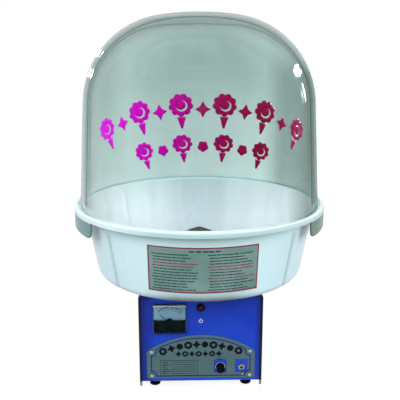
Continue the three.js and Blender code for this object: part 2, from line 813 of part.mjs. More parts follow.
function makeSlipRings() {
  const drum = ring(shaftRadius + shaftGap, drumRadius, drumLow, drumTop, partTurn);
  piece("slip_ring_drum", drum, "brownInsulator");
  const inner = drumRadius + restGap;
  const outer = inner + slipRingThickness;
  const lowerRing = drumLow + (drumHeight - slipRingPitch - slipRingHeight) / 2;
  const levels = { lower: lowerRing, upper: lowerRing + slipRingPitch };
  const holderNear = outer + restGap + brushHolderOffset;
  const holderFar = holderNear + brushHolderWidth;
  const slots = [];
  for (const [name, low] of Object.entries(levels)) {
    piece(`slip_ring_${name}`, ring(inner, outer, low, low + slipRingHeight, partTurn), "brass");
    const middle = low + slipRingHeight / 2;
    const half = brushWidth / 2;
    const near = outer + restGap;
    const brush = block(near, near + brushLength, -half, half, middle - half, middle + half);
    piece(`brush_${name}`, brush, "carbon");
    const room = half + restGap;
    slots.push(block(holderNear - 1, holderFar + 1, -room, room, middle - room, middle + room));
  }
  const depth = brushHolderDepth / 2;
  const holderLow = bridgeTop + restGap;
  const holder = block(holderNear, holderFar, -depth, depth, holderLow, drumTop);
  piece("brush_holder", cut(holder, ...slots), "brownInsulator");
}

function makeElectrics() {
  const low = floorTop + restGap;
  const high = low + terminalHeight;
  const terminalY = cabinetDepth / 2 - terminalInset;
  const near = terminalY - terminalDepth / 2;
  const body = block(-terminalWidth / 2, terminalWidth / 2, near, near + terminalDepth, low, high);
  const pitch = terminalWidth / terminalSlots;
  const slots = [];
  for (let i = 0; i < terminalSlots; i++) {
    const x = (i + 0.5) * pitch - terminalWidth / 2;
    const half = terminalSlotWidth / 2;
    const far = near + terminalDepth;
    slots.push(block(x - half, x + half, near - 1, far + 1, high - terminalSlotDepth, high + 1));
  }
  piece("terminal_block", cut(body, ...slots), "whitePlastic");

  const back = cabinetDepth / 2;
  const inletX = cabinetWidth / 2 - inletInset;
  const z = footHeight + inletHeight;
  const w = inletWidth / 2;
  const h = inletTall / 2;
  const flangeW = w + inletFlange;
  const flangeH = h + inletFlange;
  const face = back + restGap + inletFlangeDepth;
  const shell = join(
    block(inletX - w, inletX + w, back - inletDepth, back + restGap + 1, z - h, z + h),
    block(inletX - flangeW, inletX + flangeW, back + restGap, face, z - flangeH, z + flangeH),
  );
  const pocketW = w - inletPocketWall;
  const pocketH = h - inletPocketWall;
  const floor = face - inletPocketDepth;
  const pocket = block(inletX - pocketW, inletX + pocketW, floor, face + 1, z - pocketH, z + pocketH);
  const pins = [-1, 0, 1].map((i) => {
    const left = inletX + i * inletPinPitch - inletPinWidth / 2;
    const low = z - inletPinTall / 2 + (i ? -1 : 2);
    return block(left, left + inletPinWidth, floor - 1, floor + inletPinLength, low, low + inletPinTall);
  });
  piece("power_inlet", join(cut(shell, pocket), ...pins), "blackPlastic");
}

function makeSeat() {
  const low = cabinetTop + restGap;
  const outer = tubHoleRadius + seatLedge;
  const spigot = tubHoleRadius - spigotPlay;
  const inner = spigot - spigotWall;
  const profile = [
    point(inner, low),
    point(outer, low),
    point(outer, seatShelf),
    point(spigot, seatShelf),
    point(spigot, seatShelf + spigotHeight),
    point(inner, seatShelf + spigotHeight),
    point(inner, low),
  ];
  piece("bowl_seat", turned(profile, bowlTurn), "castAluminium");
}

const arcPoints = (r, z, radius, from, to, steps) =>
  Array.from({ length: steps + 1 }, (_, i) => {
    const angle = from + ((to - from) * i) / steps;
    return point(r + radius * Math.cos(angle), z + radius * Math.sin(angle));
  });

function makeTub() {
  const lipUnder = rimTop - rimDepth;
  const floorInside = tubBottom + tubWall;
  const cornerZ = tubBottom + tubCornerRadius;
  const cornerR = tubOuterAt(cornerZ) - tubCornerRadius / Math.cos(draft);
  const down = -Math.PI / 2;
  const profile = [
    point(tubHoleRadius, tubBottom),
    ...arcPoints(cornerR, cornerZ, tubCornerRadius, down, -draft, 4),
    point(tubOuterAt(lipUnder), lipUnder),
    point(rimRadius, lipUnder),
    point(rimRadius, rimTop - rimEdge),
    point(rimRadius - rimEdge, rimTop),
    point(lipInner, rimTop),
    point(lipInner, grooveFloor),
    point(ridgeOuter, grooveFloor),
    point(ridgeOuter, rimTop - ridgeEdge),
    point(ridgeOuter - ridgeEdge, rimTop),
    point(ridgeInner, rimTop),
    ...arcPoints(cornerR, cornerZ, tubCornerRadius - tubWall, -draft, down, 3),
    point(tubHoleRadius + tubWall, floorInside),
    point(tubHoleRadius + tubWall, tubBottom + tubCollarHeight),
    point(tubHoleRadius, tubBottom + tubCollarHeight),
    point(tubHoleRadius, tubBottom),
  ];
  const bowl = turned(profile, bowlTurn);
  // The deep rim on both sides is a pair of hand grips
  const half = rad(skirtHalfAngle);
  const grips = [0, Math.PI].map((turn) => {
    const sector = new THREE.Shape();
    sector.absarc(0, 0, rimRadius, turn - half, turn + half, false);
    sector.absarc(0, 0, rimRadius - skirtWall, turn + half, turn - half, true);
    sector.closePath();
    return slab(sector, rimTop - skirtDepth, lipUnder + 1, skirtSteps);
  });
  piece("tub", join(bowl, ...grips), "whitePlastic");
}

function makeHead() {
  const baseFloor = headLow + headWall;
  const lipTop = baseFloor + headLipHeight;
  const hubTop = headLow + headHubHeight;
  const bore = shaftRadius + shaftGap;
  const base = [
    point(bore, headLow),
    point(headRadius, headLow),
    point(headRadius, lipTop),
    point(headRadius - headWall, lipTop),
    point(headRadius - headWall, baseFloor),
    point(headHubRadius, baseFloor),
    point(headHubRadius, hubTop),
    point(bore, hubTop),
    point(bore, headLow),
  ];
  piece("head_base", turned(base, partTurn), "castAluminium");

  const bandLow = lipTop + restGap;
  const bandHigh = bandLow + headBandHeight;
  const bandOuter = headRadius - headBandInset;
  const slots = [];
  for (let i = 0; i < headSlots; i++) {
    const middle = (bandLow + bandHigh) / 2;
    const low = middle - headSlotHeight / 2;
    const half = headSlotWidth / 2;
    const inner = bandOuter - 2 * headBandThickness;
    const slot = block(inner, bandOuter + 2, -half, half, low, low + headSlotHeight);
    slots.push(slot.rotateZ(((i + 0.5) * 2 * Math.PI) / headSlots));
  }
  const band = ring(bandOuter - headBandThickness, bandOuter, bandLow, bandHigh, 2 * headSlots);
  piece("head_band", cut(band, ...slots), "zincSteel");

  const heaterLow = baseFloor + restGap;
  const heaterRadius = headRadius - heaterInset;
  const heaterInner = heaterRadius - heaterThickness;
  const heater = ring(heaterInner, heaterRadius, heaterLow, heaterLow + heaterHeight, partTurn);
  piece("heating_element", heater, "heaterSteel");

  const coverLow = bandHigh + restGap;
  const coverHigh = coverLow + headCoverHeight;
  const feed = headCapRadius + headFeedGap;
  const cover = [
    point(feed, coverLow),
    point(headRadius, coverLow),
    point(headRadius, coverHigh - headCoverBevel),
    point(headRadius - headCoverBevel, coverHigh),
    point(feed, coverHigh),
    point(feed, coverLow),
  ];
  piece("head_cover", turned(cover, partTurn), "castAluminium");

  const capLow = hubTop + restGap;
  const shaftTop = capLow + headCapWall;
  const cap = [
    point(0, shaftTop + restGap),
    point(bore, shaftTop + restGap),
    point(bore, capLow),
    point(headCapRadius, capLow),
    point(headCapRadius, shaftTop),
    point(headCapTipRadius, shaftTop + headCapCone),
    point(0, shaftTop + headCapCone),
  ];
  piece("head_cap", turned(cap, partTurn), "blackPlastic");
  piece("drive_shaft", rod(shaftRadius, motorLow, shaftTop, smallTurn), "screwSteel");
}

function makeDome() {
  const foot = grooveFloor + restGap;
  const top = foot + domeHeight;
  const rise = new THREE.Vector2(-Math.sin(taper), Math.cos(taper));
  const out = new THREE.Vector2(Math.cos(taper), Math.sin(taper));
  // The shoulder's centre lies inside the wall by the shoulder's radius,
  // and from the crown's centre by the difference of their radii
  const start = new THREE.Vector2(domeFootRadius, foot).addScaledVector(out, -domeShoulderRadius);
  const crownZ = top - domeCrownRadius;
  const fromCrown = start.clone().sub(point(0, crownZ));
  const along = fromCrown.dot(rise);
  const reach = domeCrownRadius - domeShoulderRadius;
  const travel = -along + Math.sqrt(along * along - fromCrown.lengthSq() + reach * reach);
  const centre = start.addScaledVector(rise, travel);
  const joinAngle = Math.atan2(centre.y - crownZ, centre.x);
  const face = (inset) => [
    point(domeFootRadius - inset / Math.cos(taper), foot),
    ...arcPoints(centre.x, centre.y, domeShoulderRadius - inset, taper, joinAngle, domeShoulderSteps),
    ...arcPoints(0, crownZ, domeCrownRadius - inset, joinAngle, Math.PI / 2, domeCrownSteps).slice(1, -1),
    point(0, top - inset),
  ];
  const profile = [...face(domeWall).reverse(), ...face(0)];
  piece("dome", turned(profile, bowlTurn), "domePlastic");
}

makeChassis();
makeCover();
makeFeet();
makeNameplate();
makeMeter();
makeLamp();
makeHeatControl();
makeToggle();
makeMotor();
makeSlipRings();
makeElectrics();
makeSeat();
makeTub();
makeHead();
makeDome();

export default machine;
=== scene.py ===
import json
import random
from math import asin, atan, atan2, ceil, cos, degrees, hypot, pi, radians, sin, sqrt, tan

import bmesh
import bpy
from mathutils import Matrix, Vector

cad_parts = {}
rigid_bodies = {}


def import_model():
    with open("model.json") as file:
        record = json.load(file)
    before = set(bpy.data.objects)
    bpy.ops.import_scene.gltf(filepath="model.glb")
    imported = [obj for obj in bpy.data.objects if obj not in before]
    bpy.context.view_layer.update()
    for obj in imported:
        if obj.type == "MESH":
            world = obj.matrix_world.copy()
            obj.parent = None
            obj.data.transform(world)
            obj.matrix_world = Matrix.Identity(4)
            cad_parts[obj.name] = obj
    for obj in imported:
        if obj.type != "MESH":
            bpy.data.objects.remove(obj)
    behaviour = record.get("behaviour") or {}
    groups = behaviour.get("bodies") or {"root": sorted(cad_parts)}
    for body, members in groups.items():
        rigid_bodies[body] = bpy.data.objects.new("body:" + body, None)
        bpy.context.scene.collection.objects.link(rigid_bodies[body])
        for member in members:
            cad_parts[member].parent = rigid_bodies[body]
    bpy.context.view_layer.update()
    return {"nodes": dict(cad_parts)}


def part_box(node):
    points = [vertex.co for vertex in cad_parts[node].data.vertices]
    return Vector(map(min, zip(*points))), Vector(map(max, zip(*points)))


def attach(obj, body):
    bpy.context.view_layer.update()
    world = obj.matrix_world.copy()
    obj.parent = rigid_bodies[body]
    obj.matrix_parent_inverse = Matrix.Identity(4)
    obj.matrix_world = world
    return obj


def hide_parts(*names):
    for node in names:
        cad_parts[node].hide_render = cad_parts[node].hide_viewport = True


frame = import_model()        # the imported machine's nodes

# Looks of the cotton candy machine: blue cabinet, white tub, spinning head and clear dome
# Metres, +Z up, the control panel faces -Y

mm = 0.001

nodes = frame["nodes"]
scene = bpy.context.scene


def low(node):
    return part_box(node)[0]


def high(node):
    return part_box(node)[1]


# Places taken from the frame
panel_face = low("chassis").y
panel_foot = low("chassis").z
tub_foot = low("tub").z
rim_top = high("tub").z
rim_radius = high("tub").x
dome_foot = low("dome").z
dome_top = high("dome").z
dome_foot_radius = high("dome").x

# Tub
tub_bottom_radius = 214 * mm
tub_top_radius = 240.886 * mm
tub_draft = atan((tub_top_radius - tub_bottom_radius) / (rim_top - tub_foot))
tub_wall = 4 * mm
tub_bottom_corner = 19.3 * mm
tub_hole_radius = 88 * mm
tub_collar_height = 20 * mm
lip_height = 10.5 * mm
lip_width = 8 * mm
groove_depth = 5 * mm
ridge_width = 5 * mm
grip_depth = 42 * mm
grip_wall = 3.5 * mm
grip_half_angle = radians(36.75)
grip_corner = 16 * mm
flute_angles = (-49, 49, 131, -131)
flute_half_width = radians(2.4)
flute_depth = 3.4 * mm
flute_below_lip = 12 * mm
flute_fade = 20 * mm
flute_edge = 24 * mm     # from the tub's bottom radius to where the flutes end on its floor

# Dome
dome_wall = 5 * mm
dome_taper = radians(3.6)
dome_shoulder = 180.4 * mm
dome_crown = 537 * mm
dome_wall_steps = 14

# Nameplate, on the panel
plate_half = 110 * mm
plate_bottom = 8 * mm
plate_crown = 103.5 * mm
plate_arch = 188.2 * mm
plate_window = (25 * mm, 28.7 * mm)
control_height = 34 * mm
knob_x = 39.6 * mm
toggle_x = 82.8 * mm
plate_screws = ((-0.1, 0.067), (0.1, 0.067), (-0.1, 0.014), (0.1, 0.014))
print_lift = 0.04 * mm
print_depth = 0.12 * mm


def tub_outer_at(z):
    return tub_bottom_radius + (z - tub_foot) * tan(tub_draft)


def tub_inner_at(z):
    return tub_outer_at(z) - tub_wall / cos(tub_draft)


ridge_top = rim_top - 1.2 * mm
ridge_inner = tub_inner_at(rim_top)
ridge_outer = ridge_inner + ridge_width
lip_inner = rim_radius - lip_width
lip_under = rim_top - lip_height
groove_floor = rim_top - groove_depth
grip_inner = rim_radius - grip_wall


# Places on the control panel: X to the right, Y up from its lower edge, Z out of its face
on_panel = Matrix.Translation((0, panel_face, panel_foot)) @ Matrix.Rotation(pi / 2, 4, "X")


def panel_place(x, y, z=0.0):
    return on_panel @ Matrix.Translation((x, y, z))


# Outlines

def arc(x, y, radius, start, end, steps):
    """Points on an arc about (x, y), from one angle to another."""
    turns = [start + (end - start) * i / steps for i in range(steps + 1)]
    return [Vector((x + radius * cos(turn), y + radius * sin(turn))) for turn in turns]


def rounded(corners, steps):
    """A closed outline through (x, y, radius) corners, each turned by its radius."""
    points = []
    for i, (x, y, radius) in enumerate(corners):
        here = Vector((x, y))
        if radius == 0:
            points.append(here)
            continue
        before = (Vector(corners[i - 1][:2]) - here).normalized()
        after = (Vector(corners[(i + 1) % len(corners)][:2]) - here).normalized()
        half = before.angle(after) / 2
        centre = here + (before + after).normalized() * (radius / sin(half))
        start = here + before * (radius / tan(half)) - centre
        end = here + after * (radius / tan(half)) - centre
        first = atan2(start.y, start.x)
        sweep = (atan2(end.y, end.x) - first + pi) % (2 * pi) - pi
        points += arc(centre.x, centre.y, radius, first, first + sweep, steps)
    return points


def ring(inner, outer, bottom, top, corners, steps):
    """A ring's outline; corners holds its four radii in millimetres, the inner lower one first."""
    places = ((inner, bottom), (outer, bottom), (outer, top), (inner, top))
    return rounded([(*place, corner * mm) for place, corner in zip(places, corners)], steps)


# Solids

def rod(radius, bottom, top, steps=48):
    bm = bmesh.new()
    bmesh.ops.create_cone(
        bm, cap_ends=True, segments=steps, radius1=radius, radius2=radius, depth=top - bottom,
        matrix=Matrix.Translation((0, 0, (bottom + top) / 2)),
    )
    return bm


def clean(bm):
    bmesh.ops.remove_doubles(bm, verts=bm.verts, dist=0.0005 * mm)
    bmesh.ops.recalc_face_normals(bm, faces=bm.faces)


def turned(outline, steps):
    """The closed outline of (radius, height) points spun about the upright axis."""
    bm = bmesh.new()
    verts = [bm.verts.new((x, 0, z)) for x, z in outline]
    edges = [bm.edges.new(pair) for pair in zip(verts, verts[1:])]
    if outline[0][0] > 0 or outline[-1][0] > 0:
        edges.append(bm.edges.new((verts[-1], verts[0])))
    bmesh.ops.spin(
        bm, geom=verts + edges, cent=(0, 0, 0), axis=(0, 0, 1),
        angle=2 * pi, steps=steps, use_merge=True,
    )
    clean(bm)
    return bm


def verts_in(geom):
    return [item for item in geom if isinstance(item, bmesh.types.BMVert)]


def slab(outline, bottom, top):
    """The flat outline raised from one height to another."""
    bm = bmesh.new()
    face = bm.faces.new([bm.verts.new((x, y, bottom)) for x, y in outline])
    grown = bmesh.ops.extrude_face_region(bm, geom=[face], use_keep_orig=True)["geom"]
    bmesh.ops.translate(bm, vec=(0, 0, top - bottom), verts=verts_in(grown))
    clean(bm)
    return bm


def block(corner, far):
    """A block between two corners."""
    corner, far = Vector(corner), Vector(far)
    bm = bmesh.new()
    place = Matrix.Translation((corner + far) / 2) @ Matrix.Diagonal((*(far - corner), 1))
    bmesh.ops.create_cube(bm, size=1, matrix=place)
    return bm


def soften(edges, bm, width):
    """Rounds some edges of a solid."""
    bmesh.ops.bevel(
        bm, geom=edges, offset=width, offset_type="OFFSET", affect="EDGES",
        segments=3, profile=0.5, material=-1, clamp_overlap=True,
    )


def placed(bm, matrix):
    bmesh.ops.transform(bm, matrix=matrix, verts=bm.verts)
    return bm


def moved(bm, x, y):
    return placed(bm, Matrix.Translation((x, y, 0)))


def spun(bm, turn):
    return placed(bm, Matrix.Rotation(turn, 4, "Z"))


def joined(*parts):
    """One bmesh that holds all the parts' shapes."""
    whole = bmesh.new()
    for part in parts:
        mesh = mesh_of(part)
        whole.from_mesh(mesh)
        bpy.data.meshes.remove(mesh)
    return whole


def mesh_of(bm, name="work"):
    mesh = bpy.data.meshes.new(name)
    bm.to_mesh(mesh)
    bm.free()
    return mesh


def linked(name, data):
    """A new object in the scene."""
    obj = bpy.data.objects.new(name, data)
    scene.collection.objects.link(obj)
    return obj


def shaped(bm, tool, operation):
    """The solid with the tool's shape cut away or joined on."""
    body, cutter = [linked("work", mesh_of(part)) for part in (bm, tool)]
    step = body.modifiers.new("work", "BOOLEAN")
    step.operation = operation
    step.solver = "EXACT"
    step.object = cutter
    result = bmesh.new()
    result.from_object(body, bpy.context.evaluated_depsgraph_get())
    for obj in (body, cutter):
        mesh = obj.data
        bpy.data.objects.remove(obj)
        bpy.data.meshes.remove(mesh)
    return result


def cut(bm, *tools):
    return shaped(bm, joined(*tools), "DIFFERENCE")


def merged(bm, *others):
    return shaped(bm, joined(*others), "UNION")


# Pieces

def piece(name, bm, material, body, slot, replaces=(), sharp=35, edge=0.0):
    """A finished mesh as a piece of the machine."""
    mesh = mesh_of(bm, name)
    mesh.shade_smooth()
    mesh.set_sharp_from_angle(angle=radians(sharp))
    mesh.materials.append(material)
    obj = linked(name, mesh)
    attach(obj, body)
    if replaces:
        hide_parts(*replaces)
    if edge:
        bevel = obj.modifiers.new("edges", "BEVEL")
        bevel.width = edge
        bevel.segments = 2
        bevel.limit_method = "ANGLE"
        bevel.angle_limit = radians(40)
    even = obj.modifiers.new("even_shading", "WEIGHTED_NORMAL")
    even.keep_sharp = True
    return obj


def body_of(node):
    return nodes[node].parent.name.removeprefix("body:")


def slot_of(node):
    return nodes[node].data.materials[0].name


def stands_for(node, bm, material, sharp=35, edge=0.0):
    """A fine piece in the place of a plain node."""
    return piece(f"fine_{node}", bm, material, body_of(node), slot_of(node), [node], sharp, edge)


def refined(node, material, edge):
    """The node's own shape, its loose faces merged and its edges rounded."""
    bm = bmesh.new()
    bm.from_mesh(nodes[node].data)
    bmesh.ops.remove_doubles(bm, verts=bm.verts, dist=0.001 * mm)
    bmesh.ops.dissolve_limit(bm, angle_limit=radians(1), verts=bm.verts, edges=bm.edges)
    return stands_for(node, bm, material, 30, edge)


# Colours and materials

def shade(red, green, blue):
    """A colour as it shows on a screen, made linear."""
    def linear(value):
        value /= 255
        return value / 12.92 if value <= 0.04045 else ((value + 0.055) / 1.055) ** 2.4
    return (linear(red), linear(green), linear(blue), 1.0)


class Wiring:
    """A node tree and a few helpers to wire it."""

    def __init__(self, tree):
        self.tree = tree

    def set(self, node, values):
        for key, value in values.items():
            if isinstance(value, bpy.types.NodeSocket):
                self.tree.links.new(value, node.inputs[key])
            else:
                node.inputs[key].default_value = value

    def add(self, kind, values=None, **settings):
        node = self.tree.nodes.new("ShaderNode" + kind)
        for key, value in settings.items():
            setattr(node, key, value)
        self.set(node, values or {})
        return node

    def math(self, operation, first, *others):
        """Works values together; more than two are taken one after the other."""
        for other in others or (0.0,):
            first = self.add("Math", {0: first, 1: other}, operation=operation).outputs[0]
        return first

    def times(self, *values):
        return self.math("MULTIPLY", *values)

    def most(self, *values):
        return self.math("MAXIMUM", *values)

    def span(self, value, low, high, to_low=0.0, to_high=1.0):
        """Rises from one value to another while the given value goes from low to high."""
        values = {"Value": value, 1: low, 2: high, 3: to_low, 4: to_high}
        return self.add("MapRange", values).outputs["Result"]

    def seen_straight(self):
        """1 to the eye, in gloss and through clear plastic, 0 for the light on other surfaces."""
        path = self.add("LightPath").outputs
        return self.most(path["Is Camera Ray"], path["Is Glossy Ray"], path["Is Transmission Ray"])


class Finish(Wiring):
    """A material with one main shader; its patterns lie on the machine's own places."""

    def __init__(self, name, colour, roughness, metallic=0.0, **values):
        self.material = bpy.data.materials.new(name)
        self.material.use_nodes = True
        super().__init__(self.material.node_tree)
        self.shader = self.tree.nodes["Principled BSDF"]
        self.output = self.tree.nodes["Material Output"]
        self.set(self.shader, {"Base Color": colour, "Roughness": roughness, "Metallic": metallic})
        self.set(self.shader, {key.replace("_", " "): value for key, value in values.items()})
        self.place = self.add("TexCoord").outputs["Object"]

    def axes(self):
        return self.add("SeparateXYZ", {"Vector": self.place}).outputs[:]

    def stretched(self, x, y, z):
        return self.add("Mapping", {"Vector": self.place, "Scale": (x, y, z)}).outputs[0]

    def length(self, vector):
        return self.add("VectorMath", {0: vector}, operation="LENGTH").outputs["Value"]

    def noise(self, scale, detail=3.0, vector=None):
        values = {"Vector": vector or self.place, "Scale": scale, "Detail": detail, "Roughness": 0.5}
        return self.add("TexNoise", values).outputs["Fac"]

    def blend(self, factor, first, second):
        return self.add("Mix", {0: factor, 6: first, 7: second}, data_type="RGBA").outputs[2]

    def layered(self, colour, *layers):
        """Lays colours over the first one, each as far as its factor says."""
        for factor, over in layers:
            colour = self.blend(factor, colour, over)
        return colour

    def drift(self, first, second, scale, detail=3.0, vector=None, low=0.35, high=0.65):
        """A colour that wanders between two shades."""
        return self.blend(self.span(self.noise(scale, detail, vector), low, high), first, second)

    def done(self, colour, gloss, grain=None, vector=None):
        """Sets the colour, a roughness that wanders and a fine relief.

        gloss is the smoothest and dullest roughness and the scale, grain the scale, strength and depth."""
        smooth, dull, scale = gloss
        roughness = self.span(self.noise(scale, 4.0, vector), 0.3, 0.7, smooth, dull)
        self.set(self.shader, {"Base Color": colour, "Roughness": roughness})
        if grain:
            scale, strength, depth = grain
            relief = self.noise(scale, 2.0, vector)
            bump = self.add("Bump", {"Strength": strength, "Distance": depth, "Height": relief})
            self.set(self.shader, {"Normal": bump.outputs[0]})
        return self.material


def blue_paint(name, with_painted_lip_shade=False):
    """Semi-gloss blue enamel. Painted light and shade: paler low down, darker towards the front's sides,
    and almost black on the cover's folded front lips."""
    paint = Finish(name, shade(25, 62, 186), 0.35, Specular_IOR_Level=0.16)
    x, y, z = paint.axes()
    colour = paint.drift(shade(22, 57, 181), shade(28, 66, 192), 9)
    # Painted light: the enamel paler low down, away from the tub's shade
    painted_low_light = paint.span(z, 20 * mm, 85 * mm, 0.55, 0.0)
    # Painted shade: the front darker towards its left and right edges
    painted_left_shade = paint.span(x, -124 * mm, -90 * mm, 0.95, 0.0)
    painted_right_shade = paint.span(x, 108 * mm, 123 * mm, 0.0, 0.9)
    facing_front = paint.span(y, -124 * mm, -122 * mm, 1.0, 0.0)
    painted_side_shade = paint.times(paint.math("ADD", painted_left_shade, painted_right_shade), facing_front)
    colour = paint.layered(colour, (painted_low_light, shade(42, 88, 206)), (painted_side_shade, shade(14, 22, 84)))
    if with_painted_lip_shade:
        # Painted shade: the cover's folded front lips almost black
        side = high("cover").x
        lip = paint.span(paint.math("ABSOLUTE", x), side - 5.6 * mm, side - 4.8 * mm)
        front = paint.span(y, panel_face + 2.2 * mm, panel_face + 1.2 * mm)
        below = paint.span(z, panel_foot + 1 * mm, panel_foot - 1 * mm)
        painted_cover_lip_shade = (paint.times(lip, front), shade(8, 12, 44))
        colour = paint.layered(colour, painted_cover_lip_shade, (below, shade(128, 136, 150)))
    return paint.done(colour, (0.26, 0.38, 30), (700, 0.06, 0.3 * mm))


def tub_plastic(name):
    """Glossy white plastic with a cool cast. Painted light and shade: inside paler at the sides and darker
    in the middle; outside darker in the middle, in the flutes and low down; the lip's front and the grips
    darker and greener, the rim's top paler.
    """
    tub = Finish(name, shade(214, 233, 239), 0.3, IOR=1.5, Specular_IOR_Level=0.3)
    x, y, z = tub.axes()
    aside = tub.math("ABSOLUTE", x)
    outside = tub.drift(shade(211, 242, 251), shade(218, 247, 254), 6)
    # Painted shade: the outside darker and greener in the middle
    outside = tub.blend(tub.span(aside, 0.02, 0.13, 0.7, 0.0), outside, shade(194, 228, 226))
    # Painted light and shade inside: paler at the sides, darker in the middle, in upright streaks
    streaks = tub.noise(1.0, 4.0, tub.stretched(34, 34, 1.2))
    painted_inside_light = tub.math("ADD", tub.span(aside, 0.03, 0.15), tub.span(streaks, 0.3, 0.7, -0.18, 0.18))
    inside = tub.blend(painted_inside_light, shade(202, 211, 218), shade(241, 245, 249))

    # How far a place is from the centre of the bottom corner's arc, and so how deep in the wall
    across = tub.length(tub.stretched(1, 1, 0))
    wall = tub.span(z, tub_foot, rim_top, tub_bottom_radius, tub_top_radius)
    out = tub.math("ADD", tub.math("SUBTRACT", across, wall), tub_bottom_corner)
    down = tub.math("SUBTRACT", tub_foot + tub_bottom_corner, z)
    corner = tub.add("CombineXYZ", {"X": tub.most(out, 0.0), "Y": tub.most(down, 0.0)})
    reach = tub.length(corner.outputs[0])
    inner = tub_bottom_corner - tub_wall
    in_tub = tub.span(reach, inner + 0.45 * mm, inner + 0.15 * mm)
    # Painted shade: the flutes' hollows darker
    in_flute = tub.span(reach, tub_bottom_corner - 0.5 * mm, tub_bottom_corner - 2.6 * mm)

    # Painted light and shade on the lip's outer face: darker and greener in front, paler to the left,
    # right and back
    edge = tub.span(across, rim_radius - 2 * mm, rim_radius - 0.6 * mm, 0.0, 0.75)
    left_lip, right_lip = tub.span(x, -0.08, -0.17), tub.span(x, 0.08, 0.2, 0.0, 0.4)
    painted_lit_lip = tub.most(left_lip, right_lip, tub.span(y, -0.04, 0.04))
    painted_lip_shade = tub.blend(painted_lit_lip, shade(146, 182, 180), shade(222, 240, 244))
    # Painted light: the rim's top face paler and greyer
    near_top = tub.span(z, rim_top - 6 * mm, rim_top - 3 * mm)
    on_rim = tub.span(across, tub_top_radius - 6 * mm, tub_top_radius - 5 * mm)
    on_top = tub.times(near_top, on_rim, tub.math("SUBTRACT", 1.0, edge))
    # Painted shade: the grips darker and greener, more so on the right
    below_lip = tub.span(z, lip_under - 1 * mm, lip_under + 1 * mm, 1.0, 0.0)
    on_grip = tub.times(tub.span(across, rim_radius - 5 * mm, rim_radius - 4 * mm), below_lip)
    painted_grip_shade = tub.blend(tub.span(x, -0.1, 0.1), shade(100, 142, 146), shade(84, 118, 106))
    # Painted shade and reflection: the outside dark blue-grey low down in the middle
    low_down = tub.span(z, tub_foot, tub_foot + 30 * mm, 1.0, 0.0)
    in_middle = tub.span(aside, 0.05, 0.11, 1.0, 0.0)
    under = tub.times(low_down, in_middle, tub.math("SUBTRACT", 1.0, in_tub))
    colour = tub.layered(
        outside, (in_flute, shade(186, 214, 218)), (in_tub, inside), (edge, painted_lip_shade),
        (on_top, shade(230, 242, 245)), (on_grip, painted_grip_shade), (under, shade(24, 58, 84)),
    )
    return tub.done(colour, (0.24, 0.36, 14), (90, 0.04, 0.4 * mm))


def clear_plastic(name, tint, bend, shine):
    """Clear plastic, with its cloudiness and what tells a shadow ray, to wire it further."""
    glass = Finish(name, tint, 0.01, IOR=bend, Transmission_Weight=1.0, Specular_IOR_Level=shine)
    cloudy = glass.span(glass.noise(5, 2.0), 0.35, 0.65, 0.0, 0.12)
    return glass, cloudy, glass.add("LightPath").outputs["Is Shadow Ray"]


def see_through(glass, body, dim, through):
    """Lets light straight through the clear plastic, as far as dim says."""
    glass.set(glass.shader, {"Base Color": body})
    open_way = glass.add("BsdfTransparent", {"Color": through}).outputs[0]
    mix = glass.add("MixShader", {0: dim, 1: glass.shader.outputs[0], 2: open_way})
    glass.set(glass.output, {"Surface": mix.outputs[0]})
    return glass.material


def lens_plastic(name):
    tint, deep = (0.93, 0.96, 0.97, 1), (0.85, 0.9, 0.92, 1)
    glass, cloudy, shadow = clear_plastic(name, tint, 1.05, 0.2)
    return see_through(glass, glass.blend(cloudy, tint, deep), shadow, (0.97, 0.98, 0.98, 1))


